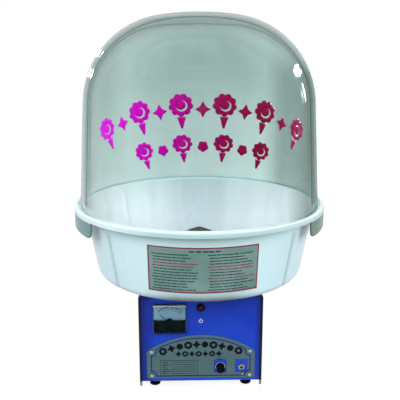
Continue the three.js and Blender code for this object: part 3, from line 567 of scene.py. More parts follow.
def dome_plastic(name):
    """Clear plastic with a cool tint, its tint carrying painted reflection: deeper at the crown and in
    the middle, paler to the sides and in soft patches. Painted light makes it paler low down in front,
    painted shade deeper on the right side and a little on the far left.

    Along the outline its wall shows as a paler band between two dark lines. These follow how far
    the surface turns from facing the eye, from 0 to 1."""
    tint, deep, pale = (0.70, 0.82, 0.805, 1), (0.30, 0.43, 0.40, 1), (0.97, 0.99, 0.99, 1)
    glass, cloudy, shadow = clear_plastic(name, tint, 1.49, 0.05)
    x, y, z = glass.axes()
    # Painted reflection: the tint deeper at the crown and in the middle, paler to the sides, in soft
    # patches
    crown = glass.span(z, 0.42, 0.62, 0.0, 0.26)
    aside = glass.span(glass.math("ABSOLUTE", x), 0.05, 0.16, 0.06, -0.13)
    painted_reflection_patches = glass.noise(1.0, 4.0, glass.stretched(16, 16, 5))
    painted_reflection_patches = glass.span(painted_reflection_patches, 0.35, 0.65, -0.06, 0.06)
    body = glass.blend(glass.math("ADD", cloudy, crown, aside, painted_reflection_patches), tint, deep)
    # Painted light: the tint paler low down in front
    painted_low_front_light = glass.times(glass.span(z, 0.4, 0.47, 1.0, 0.0), glass.span(y, -0.05, 0.05, 1.0, 0.0))
    body = glass.blend(painted_low_front_light, body, pale)

    facing = glass.add("LayerWeight", {"Blend": 0.5}).outputs["Facing"]
    soft_start, line_start, line_full, line_end, band_start = 0.5, 0.665, 0.695, 0.71, 0.745
    above_rim = glass.span(z, rim_top + 2 * mm, rim_top + 16 * mm)
    low_wall = glass.span(z, 0.39, 0.47, 0.62, 0.3)
    soft_rise = glass.times(glass.span(facing, soft_start, line_start), low_wall)
    rise = glass.times(glass.most(soft_rise, glass.span(facing, line_start, line_full)), above_rim)
    inner_line = glass.times(rise, glass.span(facing, line_end, band_start, 0.9, 0.42))
    outer_line = glass.times(glass.span(facing, 0.9, 0.97, 0.0, 0.85), above_rim)
    # Painted shade: the right side deeper, the far left a little
    painted_right_shade = glass.times(glass.span(x, 0.155, 0.2), glass.span(z, 0.64, 0.7, 1.0, 0.3))
    painted_left_shade = glass.span(x, -0.16, -0.2, 0.0, 0.12)
    right_edge = glass.times(painted_right_shade, rise, 0.68)
    dim = glass.most(inner_line, outer_line, glass.times(painted_right_shade, 0.5), right_edge, painted_left_shade, shadow)
    wall_shade = glass.blend(painted_right_shade, (0.46, 0.57, 0.55, 1), (0.38, 0.48, 0.45, 1))
    return see_through(glass, body, dim, glass.blend(shadow, wall_shade, (0.95, 0.98, 0.98, 1)))


def matter(name, first, second, scale, gloss, grain, shine=0.5, metallic=0.0):
    """A finish whose shade and polish wander a little."""
    first, second = shade(*first), shade(*second)
    finish = Finish(name, first, gloss[0], metallic, Specular_IOR_Level=shine)
    return finish.done(finish.drift(first, second, scale), gloss, grain)


def metal(name, first, second, smooth, dull, scale=60, relief=0.08):
    """Plain or plated metal."""
    gloss, grain = (smooth, dull, scale * 3), (scale * 30, relief, 0.1 * mm)
    return matter(name, first, second, scale, gloss, grain, metallic=1.0)


def plain(name, first, second, smooth, dull, scale=50, shine=0.4):
    """Moulded or printed matter without metal."""
    gloss, grain = (smooth, dull, scale * 2), (scale * 20, 0.08, 0.1 * mm)
    return matter(name, first, second, scale, gloss, grain, shine)


def ink(name, first, second, shine=0.1):
    return plain(name, first, second, 0.4, 0.55, 200, shine)


def brushed(name, first, second, along):
    """Metal brushed along one direction; along holds the pattern's scale on each axis."""
    first, second = shade(*first), shade(*second)
    finish = Finish(name, first, 0.35, 1.0)
    streaks = finish.stretched(*along)
    colour = finish.drift(first, second, 1.0, 4.0, streaks, low=0.3, high=0.7)
    return finish.done(colour, (0.28, 0.5, 1.0), (1.0, 0.12, 0.05 * mm), streaks)


def vinyl(name, shades):
    """Cut film whose colour runs from one side of the machine to the other."""
    film = Finish(name, shades[0][1], 0.3, Specular_IOR_Level=0.08)
    ramp = film.add("ValToRGB", {"Fac": film.span(film.axes()[0], -0.2, 0.2)})
    steps = ramp.color_ramp.elements
    for i, (at, colour) in enumerate(shades):
        step = steps[i] if i < 2 else steps.new(at)
        step.position = at
        step.color = colour
    cloudy = film.span(film.noise(60), 0.35, 0.65, 0.0, 0.12)
    return film.done(film.blend(cloudy, ramp.outputs["Color"], shade(60, 0, 50)), (0.24, 0.36, 90))


blue = blue_paint("blue_enamel")
blue_with_painted_lip_shade = blue_paint("blue_enamel_with_dark_lips", with_painted_lip_shade=True)
white = tub_plastic("white_tub_plastic")
dome_glass = dome_plastic("tinted_dome_plastic")
lens_glass = lens_plastic("clear_meter_plastic")
black = matter(
    "black_moulding", (4, 12, 12), (10, 20, 20), 60, (0.3, 0.46, 120), (2600, 0.12, 0.15 * mm), 0.03,
)
cap_black = matter(
    "matt_black_enamel", (2, 6, 10), (7, 13, 17), 90, (0.7, 0.9, 120), (1800, 0.1, 0.1 * mm), 0.0,
)
foot_rubber = matter(
    "foot_rubber", (3, 8, 11), (8, 15, 18), 90, (0.65, 0.9, 200), (1500, 0.35, 0.2 * mm), 0.02,
)
case_black = plain("polished_black_case", (6, 10, 12), (12, 17, 19), 0.06, 0.14, 60, 0.6)
plate_metal = brushed("satin_plate", (72, 96, 100), (90, 116, 118), (12, 60, 1400))
screw_metal = metal("bright_screw_plating", (160, 176, 174), (184, 196, 194), 0.16, 0.3)
chrome = metal("polished_plating", (178, 188, 190), (196, 204, 206), 0.1, 0.2, 40, 0.02)
brass = metal("worn_brass", (204, 204, 128), (178, 176, 104), 0.24, 0.4, 120)
zinc = metal("zinc_plating", (150, 156, 160), (176, 181, 184), 0.3, 0.48, 90)
heater_metal = metal("heat_stained_steel", (112, 104, 100), (140, 128, 112), 0.35, 0.55, 50)
cast = metal("cast_aluminium", (146, 162, 166), (170, 184, 187), 0.34, 0.5, 70, 0.2)
motor_grey = plain("motor_enamel", (70, 76, 82), (82, 88, 94), 0.4, 0.55)
insulator = plain("brown_insulator", (88, 56, 34), (104, 68, 42), 0.45, 0.6, 120)
carbon = plain("pressed_carbon", (38, 38, 40), (50, 50, 53), 0.5, 0.7, 200)
block_plastic = plain("terminal_plastic", (222, 222, 212), (232, 231, 222), 0.4, 0.5)
dial_white = plain("dial_card", (100, 132, 152), (110, 142, 161), 0.5, 0.62, 30, 0.1)
lens_red = plain("dark_red_lens", (58, 20, 16), (74, 28, 20), 0.12, 0.2, 300, 0.12)
magenta_film = vinyl("magenta_film", [
    (0.02, shade(226, 34, 236)), (0.98, shade(152, 14, 84)), (0.26, shade(178, 4, 166)),
    (0.5, shade(128, 0, 74)), (0.74, shade(112, 0, 44)),
])
label_ground = plain("label_paper", (104, 138, 132), (140, 168, 168), 0.4, 0.55, 8, 0.1)
label_red = ink("label_red_ink", (134, 34, 60), (148, 46, 72))
label_ink = ink("label_dark_ink", (26, 52, 54), (40, 66, 66))
plate_blue = ink("plate_blue_ink", (22, 34, 128), (30, 44, 142))
plate_ink = ink("plate_dark_ink", (5, 16, 20), (12, 25, 29), 0.05)
dial_ink = ink("dial_dark_ink", (16, 32, 44), (26, 44, 56))
# Pale ink for the lamp's sign; the same pale film is the meter's painted highlight
pale_ink_and_highlight = ink("pale_panel_ink", (224, 238, 242), (234, 244, 247))


# Tub

def wall_points(radius_at, levels):
    return [(radius_at(z), z, 0) for z in levels]


def tub_outline():
    floor = tub_foot + tub_wall
    collar_top = tub_foot + tub_collar_height
    levels = [lip_under - drop * mm for drop in (70, 34, 28, 22, 16, 10)]
    inner_corner = tub_bottom_corner - tub_wall
    return rounded([
        (tub_hole_radius, tub_foot, 1 * mm),
        (tub_bottom_radius, tub_foot, tub_bottom_corner),
        *wall_points(tub_outer_at, levels),
        (tub_outer_at(lip_under), lip_under, 2 * mm),
        (grip_inner, lip_under, 0),
        (rim_radius, lip_under, 1.2 * mm),
        (rim_radius, rim_top, 2.2 * mm),
        (lip_inner, rim_top, 1.2 * mm),
        (lip_inner, groove_floor, 0.8 * mm),
        (ridge_outer, groove_floor, 0.8 * mm),
        (ridge_outer, ridge_top, 1.4 * mm),
        (ridge_inner, ridge_top, 1.4 * mm),
        *wall_points(tub_inner_at, reversed(levels)),
        (tub_inner_at(floor), floor, inner_corner),
        (tub_hole_radius + tub_wall, floor, 2 * mm),
        (tub_hole_radius + tub_wall, collar_top, 1.2 * mm),
        (tub_hole_radius, collar_top, 1.2 * mm),
    ], steps=7)


def add_grips(bm):
    """Draws the rim down on both sides into a deep hand grip with rounded corners."""
    def beside(point):
        return atan2(abs(point.y), abs(point.x))

    def under_lip(face):
        middle = face.calc_center_median()
        across = hypot(middle.x, middle.y)
        in_height = lip_under - 0.1 * mm < middle.z < lip_under + 1.15 * mm
        return in_height and across > grip_inner and beside(middle) < grip_half_angle

    faces = [face for face in bm.faces if under_lip(face)]
    grown = bmesh.ops.extrude_face_region(bm, geom=faces)["geom"]
    left_behind = [face for face in faces if face.is_valid]
    bmesh.ops.delete(bm, geom=left_behind, context="FACES")
    drop = grip_depth - lip_height
    for vert in verts_in(grown):
        to_end = (grip_half_angle - beside(vert.co)) * rim_radius
        inset = max(grip_corner - to_end, 0)
        vert.co.z -= drop - grip_corner + sqrt(max(grip_corner ** 2 - inset ** 2, 0))
    bmesh.ops.recalc_face_normals(bm, faces=bm.faces)


def press_flutes(bm):
    """Presses four soft upright flutes into the tub's wall."""
    top = lip_under - flute_below_lip
    for vert in bm.verts:
        across = hypot(vert.co.x, vert.co.y)
        on_wall = tub_hole_radius + 40 * mm < across < tub_outer_at(vert.co.z) + 0.1 * mm
        if not on_wall or vert.co.z > top + 15 * mm:
            continue
        turn = degrees(atan2(vert.co.x, -vert.co.y))
        away = min(abs((turn - angle + 180) % 360 - 180) for angle in flute_angles)
        part = max(1 - radians(away) / flute_half_width, 0)
        fade = min(max((top + 4 * mm - vert.co.z) / flute_fade, 0), 1)
        floor_fade = min(max((across - tub_bottom_radius + flute_edge) / (12 * mm), 0), 1)
        depth = flute_depth * (3 - 2 * part) * part ** 2 * fade * floor_fade
        scale = (across - depth) / across
        vert.co.x *= scale
        vert.co.y *= scale


def make_tub():
    bm = turned(tub_outline(), 480)
    add_grips(bm)
    press_flutes(bm)
    stands_for("tub", bm, white, sharp=50)


make_tub()


# Dome

crown_height = dome_top - dome_crown


def shoulder_centre():
    """Where the shoulder's arc meets both the leaning wall and the crown."""
    rise = Vector((-sin(dome_taper), cos(dome_taper)))
    out = Vector((cos(dome_taper), sin(dome_taper)))
    start = Vector((dome_foot_radius, dome_foot)) - out * dome_shoulder
    from_crown = start - Vector((0, crown_height))
    along = from_crown.dot(rise)
    reach = dome_crown - dome_shoulder
    travel = -along + sqrt(along ** 2 - from_crown.length_squared + reach ** 2)
    return start + rise * travel


shoulder = shoulder_centre()
straight_end = shoulder.y + dome_shoulder * sin(dome_taper)
crown_angle = atan2(shoulder.y - crown_height, shoulder.x)


def dome_outer_at(z):
    """The dome's outer radius at a height below the crown."""
    if z < straight_end:
        return dome_foot_radius - (z - dome_foot) * tan(dome_taper)
    return shoulder.x + sqrt(dome_shoulder ** 2 - (z - shoulder.y) ** 2)


def make_dome():
    edge = 1 * mm
    foot = dome_foot_radius - edge
    inner_foot = dome_foot_radius - dome_wall / cos(dome_taper) + edge
    bead = [*arc(inner_foot, dome_foot + edge, edge, pi, 1.5 * pi, 5),
            *arc(foot, dome_foot + edge, edge, -pi / 2, 0, 5)]

    def face(inset):
        first = dome_foot + edge + 0.5 * mm
        levels = [first + (straight_end - first) * i / dome_wall_steps for i in range(dome_wall_steps)]
        wall = [Vector((dome_outer_at(z) - inset / cos(dome_taper), z)) for z in levels]
        side = arc(shoulder.x, shoulder.y, dome_shoulder - inset, dome_taper, crown_angle, 44)
        top = arc(0, crown_height, dome_crown - inset, crown_angle, pi / 2, 14)
        return wall + side + top[1:-1] + [Vector((0, dome_top - inset))]

    stands_for("dome", turned(face(dome_wall)[::-1] + bead + face(0), 240), dome_glass, sharp=60)


make_dome()


# Spinning head

def make_head():
    radius = high("head_base").x
    floor, hub_top = low("head_base").z, high("head_base").z
    bore, hub, plate, lip = 6.3 * mm, 14 * mm, 3 * mm, 4.5 * mm
    base = rounded([
        (bore, floor, 0.4 * mm),
        (radius, floor, 1.2 * mm),
        (radius, floor + lip, 0.6 * mm),
        (radius - 3 * mm, floor + lip, 0.6 * mm),
        (radius - 3 * mm, floor + plate, 0.4 * mm),
        (hub, floor + plate, 2 * mm),
        (hub, hub_top, 1 * mm),
        (bore, hub_top, 0.4 * mm),
    ], 4)
    stands_for("head_base", turned(base, 128), cast)

    def ring_at(node, inner, outer, corners, steps, turns=128):
        return turned(ring(inner, outer, low(node).z, high(node).z, corners, steps), turns)

    stands_for("head_cover", ring_at("head_cover", 40 * mm, radius, (0.6, 0.6, 2, 1.2), 5), cast)

    outer, slot_count = radius - 0.5 * mm, 16
    middle = (low("head_band").z + high("head_band").z) / 2
    inside = (outer - 8 * mm, -1.5 * mm, middle - 12 * mm)
    outside = (outer + 2 * mm, 1.5 * mm, middle + 12 * mm)
    slots = [spun(block(inside, outside), (i + 0.5) * 2 * pi / slot_count) for i in range(slot_count)]
    wall = ring_at("head_band", outer - 4 * mm, outer, (0.4, 0.4, 0.4, 0.4), 3, 192)
    stands_for("head_band", cut(wall, *slots), zinc)

    heater = ring_at("heating_element", 58 * mm, 62 * mm, (1, 1, 1, 1), 4)
    stands_for("heating_element", heater, heater_metal)

    cap_low, cap_high = low("head_cap").z, high("head_cap").z
    wall_top = cap_low + 19 * mm
    cap = [(0, wall_top + 0.3 * mm), (bore, wall_top + 0.3 * mm), (bore, cap_low), (27.7 * mm, cap_low)]
    cap += [(28.5 * mm, cap_low + 0.8 * mm), (28.5 * mm, wall_top - 1.5 * mm)]
    cap += [(27.9 * mm, wall_top - 0.2 * mm), (26.9 * mm, wall_top + 0.55 * mm)]
    cap += [(6 * mm, cap_high - 0.6 * mm), (4.4 * mm, cap_high), (0, cap_high)]
    stands_for("head_cap", turned(cap, 96), cap_black)


make_head()


# Nameplate, knob and screws

def arch_height(x, inset=0.0):
    """Height of the nameplate's arched edge on the panel."""
    return plate_crown - plate_arch + sqrt((plate_arch - inset) ** 2 - x ** 2)


def out_of_panel(node):
    """How far the node's back and front stand out of the panel."""
    return panel_face - high(node).y, panel_face - low(node).y


def make_nameplate():
    back, front = out_of_panel("nameplate")
    reach = plate_half - 9 * mm
    arch = [(-reach + 2 * reach * i / 40) for i in range(41)]
    outline = rounded([
        (-plate_half, plate_bottom, 4 * mm),
        (plate_half, plate_bottom, 4 * mm),
        (plate_half, arch_height(plate_half), 7.5 * mm),
        *[(x, arch_height(x), 0) for x in reversed(arch)],
        (-plate_half, arch_height(plate_half), 7.5 * mm),
    ], 8)
    plate = slab(outline, back, front)
    wide, tall = plate_window
    tools = []
    for x in (knob_x, toggle_x):
        corner = (x - wide / 2, control_height - tall / 2, back - 1 * mm)
        tools.append(block(corner, (x + wide / 2, control_height + tall / 2, front + 1 * mm)))
    for x, y in plate_screws:
        tools.append(moved(rod(2.3 * mm, back - 1 * mm, front + 1 * mm), x, y))
    stands_for("nameplate", placed(cut(plate, *tools), on_panel), plate_metal, 35, 0.2 * mm)


def cross_screw():
    """A round-headed screw with a cross recess; its head stands on height 0."""
    outline = [(0, -7 * mm), (1.7 * mm, -7 * mm), (1.9 * mm, -6.8 * mm), (1.9 * mm, 0)]
    outline += [(3.9 * mm, 0), (4 * mm, 0.1 * mm)]
    outline += [*arc(1.2 * mm, -0.4 * mm, 2.8 * mm, radians(12), pi / 2, 10), (0, 2.4 * mm)]
    long, thin, deep, over = 2.2 * mm, 0.45 * mm, 1.4 * mm, 3 * mm
    slots = [block((-x, -y, deep), (x, y, over)) for x, y in ((long, thin), (thin, long))]
    return cut(turned(outline, 40), merged(*slots))


def make_screws():
    for x, y in plate_screws:
        level = "upper" if y > 40 * mm else "lower"
        side = "left" if x < 0 else "right"
        turn = Matrix.Rotation(0.3 + 7 * x + 11 * y, 4, "Z")
        screw = placed(cross_screw(), panel_place(x, y, 1.6 * mm) @ turn)
        stands_for(f"nameplate_screw_{level}_{side}", screw, screw_metal)
    for place in ("front_left", "front_right", "rear_left", "rear_right"):
        node = f"cover_screw_{place}"
        middle = (low(node) + high(node)) / 2
        side = -1 if middle.x < 0 else 1
        face = side * (high("cover").x + 0.3 * mm)
        upright = Matrix.Translation((face, middle.y, middle.z)) @ Matrix.Rotation(side * pi / 2, 4, "Y")
        stands_for(node, placed(cross_screw(), upright), screw_metal)


def make_knob():
    grooves, steps = 12, 144
    back, front = out_of_panel("heat_knob")
    radius = (high("heat_knob").x - low("heat_knob").x) / 2
    outline = []
    for i in range(steps):
        turn = 2 * pi * i / steps
        dip = max(cos(grooves * (turn + pi / grooves)), 0) ** 2
        reach = radius - 1.1 * mm * dip
        outline.append((reach * cos(turn), reach * sin(turn)))
    knob = slab(outline, back, front)
    top = [v for v in knob.verts if v.co.z > front - 0.1 * mm]
    for vert in top:
        vert.co.x *= 0.93
        vert.co.y *= 0.93
    soften([e for e in knob.edges if e.verts[0] in top and e.verts[1] in top], knob, 0.9 * mm)
    shaft = rod(2.6 * mm, back - 1 * mm, out_of_panel("heat_control_shaft")[1] + 0.3 * mm)
    mark = block((-0.4 * mm, 2.5 * mm, front - 0.5 * mm), (0.4 * mm, radius, front + 1 * mm))
    place = panel_place(knob_x, control_height)
    stands_for("heat_knob", placed(cut(knob, shaft, mark), place), black, 30)

    back, front = out_of_panel("heat_knob_ring")
    rim = rounded([
        (2.6 * mm, back, 0.2 * mm),
        (10.1 * mm, back, 0.3 * mm),
        (10.1 * mm, front, 0.7 * mm),
        (8.4 * mm, front, 0.3 * mm),
        (8.2 * mm, front - 0.4 * mm, 0.2 * mm),
        (2.6 * mm, front - 0.4 * mm, 0.2 * mm),
    ], 5)
    stands_for("heat_knob_ring", placed(turned(rim, 96), place), chrome)


def make_meter_mask():
    """The black cover over the meter's works, with a hump over the needle's pivot."""
    back, front = out_of_panel("meter_mask")
    corner, far = low("meter_mask"), high("meter_mask")
    foot, head = corner.z - panel_foot, far.z - panel_foot
    wall, face = 3 * mm, 1.5 * mm
    shell = block((corner.x, foot, back), (far.x, head, front))
    hump = moved(rod(9 * mm, back, front, 64), (corner.x + far.x) / 2, head - 5 * mm)
    room = block((corner.x + wall, foot + wall, back - wall), (far.x - wall, head + 10 * mm, front - face))
    mask = cut(merged(shell, hump), room)
    stands_for("meter_mask", placed(mask, on_panel), black, 30, 0.4 * mm)


make_nameplate()
make_screws()
make_knob()
make_meter_mask()


# Prints, and one painted highlight: flat shapes, cut into small cells where they follow a curved face

def waved(verts, lobes, depth):
    """Draws a circle's outline in to soft scallops."""
    for vert in verts:
        turn = atan2(vert.co.y, vert.co.x) + pi / 2
        vert.co *= 1 - depth * (1 - abs(cos(lobes * turn / 2)))


def disc(radius, lobes=0, depth=0.0):
    bm = bmesh.new()
    waved(bmesh.ops.create_circle(bm, cap_ends=True, segments=60, radius=radius)["verts"], lobes, depth)
    return bm


def band(outer, inner, lobes, depth):
    """A flat ring, its outline waved like a puff of sugar."""
    bm = bmesh.new()
    for radius in (outer, inner):
        waved(bmesh.ops.create_circle(bm, segments=84, radius=radius)["verts"], lobes, depth)
    bmesh.ops.bridge_loops(bm, edges=bm.edges)
    return bm


def sparkle(radius, waist):
    """A star with four points."""
    bm = bmesh.new()
    verts = bmesh.ops.create_circle(bm, cap_ends=True, segments=8, radius=radius)["verts"]
    for i, vert in enumerate(verts):
        if i % 2:
            vert.co *= waist
    return bm


def bar(width, low, high, foot_width=None):
    """An upright bar, its foot narrower if asked."""
    bm = bmesh.new()
    bmesh.ops.create_grid(bm, x_segments=1, y_segments=1, size=0.5)
    for vert in bm.verts:
        at_foot = vert.co.y < 0
        vert.co.x *= foot_width if at_foot and foot_width else width
        vert.co.y = low if at_foot else high
    return bm


def line(x, y, length, thickness):
    return moved(bar(length, -thickness / 2, thickness / 2), x + length / 2, y)


def puff(size):
    """Spun sugar on a paper cone, about as tall as its size; a curved gap gives it its round."""
    cloud = bmesh.new()
    for radius, lobes, depth, aside in ((0.42, 9, 0.16, 0), (0.19, 0, 0, 0.03)):
        verts = bmesh.ops.create_circle(cloud, segments=108, radius=radius * size)["verts"]
        waved(verts, lobes, depth)
        bmesh.ops.translate(cloud, verts=verts, vec=(aside * size, -aside * size, 0))
    bmesh.ops.bridge_loops(cloud, edges=cloud.edges)
    cloud = joined(cloud, disc(0.165 * size))
    cloud = placed(cloud, Matrix.Translation((0, 0.15 * size, 0)) @ Matrix.Diagonal((1, 0.9, 1, 1)))
    return joined(cloud, bar(0.3 * size, -0.6 * size, -0.23 * size, 0.06 * size))


def facing_up(bm):
    bm.normal_update()
    for face in bm.faces:
        if face.normal.z < 0:
            face.normal_flip()
    return bm


def in_cells(bm, cell):
    """Cuts the flat shape along a square grid."""
    for axis in (0, 1):
        normal = Vector((1 - axis, axis, 0))
        reach = [vert.co[axis] for vert in bm.verts]
        for i in range(ceil(min(reach) / cell), ceil(max(reach) / cell)):
            bmesh.ops.bisect_plane(
                bm, geom=bm.verts[:] + bm.edges[:] + bm.faces[:], dist=0.001 * mm,
                plane_co=normal * (i * cell), plane_no=normal,
            )
    return bm


def wrapped(bm, place_at):
    for vert in bm.verts:
        vert.co = place_at(vert.co.x, vert.co.y)
    return bm


def printed(name, bm, material, body, slot):
    """A printed shape as thin film on the face under it; the meter's painted highlight too."""
    obj = piece(name, bm, material, body, slot)
    depth = obj.modifiers.new("film", "SOLIDIFY")
    depth.thickness = print_depth
    depth.offset = 1
    return obj


def round_the(radius_at, lift, arm=0.0):
    """Wraps flat places round a wall; widths are kept at the arm's radius, or at each height."""
    def place_at(x, y):
        radius = radius_at(y) + lift
        turn = x / (arm or radius_at(y))
        return Vector((radius * sin(turn), -radius * cos(turn), y))
    return place_at


def print_on(node, name, bm, material):
    """A print on the front of one of the panel's pieces; also the meter's painted highlight."""
    level = out_of_panel(node)[1] + print_lift
    bm = wrapped(facing_up(bm), lambda x, y: on_panel @ Vector((x, y, level)))
    printed(name, bm, material, body_of(node), slot_of(node))


def arc_line(inner, outer, start, end, steps):
    """A flat line along an arc about the origin."""
    bm = bmesh.new()
    verts = [bm.verts.new((x, y, 0)) for x, y in arc(0, 0, inner, start, end, steps)]
    edges = [bm.edges.new(pair) for pair in zip(verts, verts[1:])]
    for vert in verts_in(bmesh.ops.extrude_edge_only(bm, edges=edges)["geom"]):
        vert.co *= outer / inner
    return bm


def in_a_row(kinds, places, height_at):
    """Shapes along a curve, square to it; each kind, a function with its sizes, takes its turn."""
    row = []
    step = 1 * mm
    for i, x in enumerate(places):
        make, *sizes = kinds[i % len(kinds)]
        slope = (height_at(x + step) - height_at(x - step)) / (2 * step)
        place = Matrix.Translation((x, height_at(x), 0)) @ Matrix.Rotation(atan(slope), 4, "Z")
        row.append(placed(make(*sizes), place))
    return joined(*row)


def decorate_dome():
    """Two arched rows of sugar puffs and sparkles in magenta film."""
    arm = dome_outer_at(0.5)

    def upper(x):
        return 585.5 * mm - 58 * mm * abs(degrees(x / arm) / 49) ** 2.3

    def lower(x):
        return 523.5 * mm - 23.5 * mm * (degrees(x / arm) / 28) ** 2

    def row(kinds, angles, height_at):
        return in_a_row(kinds, [radians(angle) * arm for angle in angles], height_at)

    upper_angles = (-45, -36, -27, -18, -9, 0, 9, 18, 27, 36.5, 46)
    lower_angles = (-24.5, -16.5, -8.3, 0, 8.3, 16.5, 24.5)
    rows = joined(
        row([(puff, 52 * mm), (sparkle, 14 * mm, 0.5)], upper_angles, upper),
        row([(puff, 42 * mm), (disc, 9.5 * mm, 5, 0.2)], lower_angles, lower),
    )
    rows = wrapped(in_cells(facing_up(rows), 6 * mm), round_the(dome_outer_at, print_lift, arm))
    printed("dome_decoration", rows, magenta_film, "dome_shell", slot_of("tub"))


def label_tub():
    """A blank notice on the tub: a red frame and broken ruled lines in two columns."""
    wide, low_edge, high_edge, shift = 209 * mm, 249.5 * mm, 342.5 * mm, 1.8 * mm
    left, right = shift - wide / 2, shift + wide / 2
    frame_width = 2.4 * mm
    row_count, row_gap, row_width = 13, 5.9 * mm, 1.9 * mm
    top_layer = print_lift + print_depth
    random.seed(7)

    def sheet(bm, name, material, level):
        bm = wrapped(in_cells(facing_up(bm), 8 * mm), round_the(tub_outer_at, level))
        printed(name, bm, material, "tub_bowl", slot_of("tub"))

    sheet(moved(bar(wide, low_edge, high_edge), shift, 0), "label_ground", label_ground, print_lift)
    half = frame_width / 2
    frame_bars = [line(left, level, wide, frame_width) for level in (low_edge + half, high_edge - half)]
    for x in (left + half, right - half):
        frame_bars.append(moved(bar(frame_width, low_edge + frame_width, high_edge - frame_width), x, 0))
    sheet(joined(*frame_bars), "label_frame", label_red, top_layer)

    heading = (-26, -13.5, -1, 9.5, 21)
    dark = [line(shift + x * mm, high_edge - 8 * mm, 9 * mm, 2.7 * mm) for x in heading]
    red = []
    for column, red_rows in ((left + 8 * mm, (3, 4)), (shift + 8 * mm, (4, 5, 8))):
        for row in range(row_count):
            level = high_edge - 15 * mm - row_gap * row
            x = column + (0 if row % 4 == 0 else 3 * mm)
            end = column + random.uniform(62, 90) * mm
            while x < end:
                length = min(random.uniform(4, 15) * mm, end - x)
                if length > 1.5 * mm:
                    (red if row in red_rows else dark).append(line(x, level, length, row_width))
                x += length + random.uniform(0.8, 1.6) * mm
    sheet(joined(*dark), "label_lines", label_ink, top_layer)
    sheet(joined(*red), "label_red_lines", label_red, top_layer)


def border(inset):
    """A closed line along the nameplate's edge that bows in round each screw."""
    side = plate_half - 8.4 * mm - inset
    foot = plate_bottom + 3.8 * mm + inset
    from_arch = 6 * mm + inset
    bow = 8.5 * mm + inset
    (screw_x, high_y), low_y = plate_screws[1], plate_screws[3][1]
    over = asin((side - screw_x) / bow)
    half = arc(screw_x, low_y, bow, pi - asin((foot - low_y) / bow), pi / 2 - over, 12)
    away = Vector((screw_x, high_y - (plate_crown - plate_arch)))
    lean = (away.length_squared + bow ** 2 - (plate_arch - from_arch) ** 2) / (2 * away.length * bow)
    meeting = (atan2(-away.y, -away.x) - asin(sqrt(1 - lean ** 2))) % (2 * pi)
    half += arc(screw_x, high_y, bow, 1.5 * pi + over, meeting, 12)
    last, steps = half[-1].x, 40
    arch = [last - 2 * last * i / steps for i in range(1, steps)]
    top = [Vector((x, arch_height(x, from_arch))) for x in arch]
    return half + top + [Vector((-x, y)) for x, y in reversed(half)]


def print_nameplate():
    """Blue border round the screws, dark motifs in two rows and a blank ruled table."""
    edging = bmesh.new()
    for loop in (border(0), border(2.2 * mm)):
        verts = [edging.verts.new((x, y, 0)) for x, y in loop]
        for i, vert in enumerate(verts):
            edging.edges.new((vert, verts[i - 1]))
    bmesh.ops.bridge_loops(edging, edges=edging.edges)
    print_on("nameplate", "nameplate_border", edging, plate_blue)

    def bow_height(x):
        crown, radius = 82.5 * mm, 208 * mm
        return crown - radius + sqrt(radius ** 2 - x ** 2)

    high_kinds = [(band, 8.6 * mm, 3.4 * mm, 6, 0.14), (sparkle, 9.6 * mm, 0.48), (disc, 7 * mm, 8, 0.16)]
    low_kinds = [(sparkle, 7.2 * mm, 0.48), (band, 6.4 * mm, 2.6 * mm, 6, 0.14)]
    high_row = in_a_row(high_kinds, [(-77 + 17.1 * i) * mm for i in range(10)], bow_height)
    low_row = in_a_row(low_kinds, [(-45.5 + 13.7 * i) * mm for i in range(7)], lambda x: 61.8 * mm)
    print_on("nameplate", "nameplate_motifs", joined(high_row, low_row), plate_ink)

    left, right, foot, head = -83 * mm, -6 * mm, 13.4 * mm, 47.6 * mm
    thin, row_count = 0.7 * mm, 7
    rules = [line(left, level, right - left, thin) for level in (foot, head)]
    for x in (left + thin / 2, right - thin / 2):
        rules.append(moved(bar(thin, foot + thin / 2, head - thin / 2), x, 0))
    for i in range(1, row_count):
        level = head - i * (head - foot) / row_count
        rules.append(line(left + 22 * mm, level, right - left - 26 * mm, 0.6 * mm))
        rules.append(line(left + 4 * mm, level, (9 + 3 * (i % 3)) * mm, 1.3 * mm))
    print_on("nameplate", "nameplate_table", joined(*rules), plate_ink)


def number(text, size):
    """A plain number as a flat shape, its middle at the origin."""
    curve = bpy.data.curves.new("number", "FONT")
    curve.body = text
    curve.size = size
    curve.align_x = "CENTER"
    curve.align_y = "CENTER"
    obj = linked("number", curve)
    mesh = bpy.data.meshes.new_from_object(obj.evaluated_get(bpy.context.evaluated_depsgraph_get()))
    bm = bmesh.new()
    bm.from_mesh(mesh)
    bpy.data.objects.remove(obj)
    bpy.data.curves.remove(curve)
    bpy.data.meshes.remove(mesh)
    return bm


def print_dial():
    """An arc of ticks with plain numbers."""
    pivot_x, pivot_y = -62.5 * mm, 130.9 * mm
    steps, reach, tick_top = 50, radians(41), 35.4 * mm
    marks = []
    for i in range(steps + 1):
        turn = reach - 2 * reach * i / steps
        whole = i % 10 == 0
        width, foot = (0.5 * mm, 31.6 * mm) if whole else (0.3 * mm, 33.2 * mm)
        marks.append(spun(bar(width, foot, tick_top), turn))
        if whole:
            marks.append(spun(moved(number(str(i * 5), 3.2 * mm), 0, 29.2 * mm), turn))
    marks.append(arc_line(35.5 * mm, 36 * mm, pi / 2 - reach, pi / 2 + reach, 60))
    print_on("meter_dial", "dial_scale", moved(joined(*marks), pivot_x, pivot_y), dial_ink)


def paint_meter_edge_highlight():
    """A painted highlight: a pale strip along the top of the meter's clear front."""
    corner, far = low("meter_lens"), high("meter_lens")
    gap, thickness = 0.8 * mm, 1.3 * mm
    strip = line(corner.x + gap, far.z - panel_foot - thickness, far.x - corner.x - 2 * gap, thickness)
    print_on("meter_lens", "meter_top_line", strip, pale_ink_and_highlight)


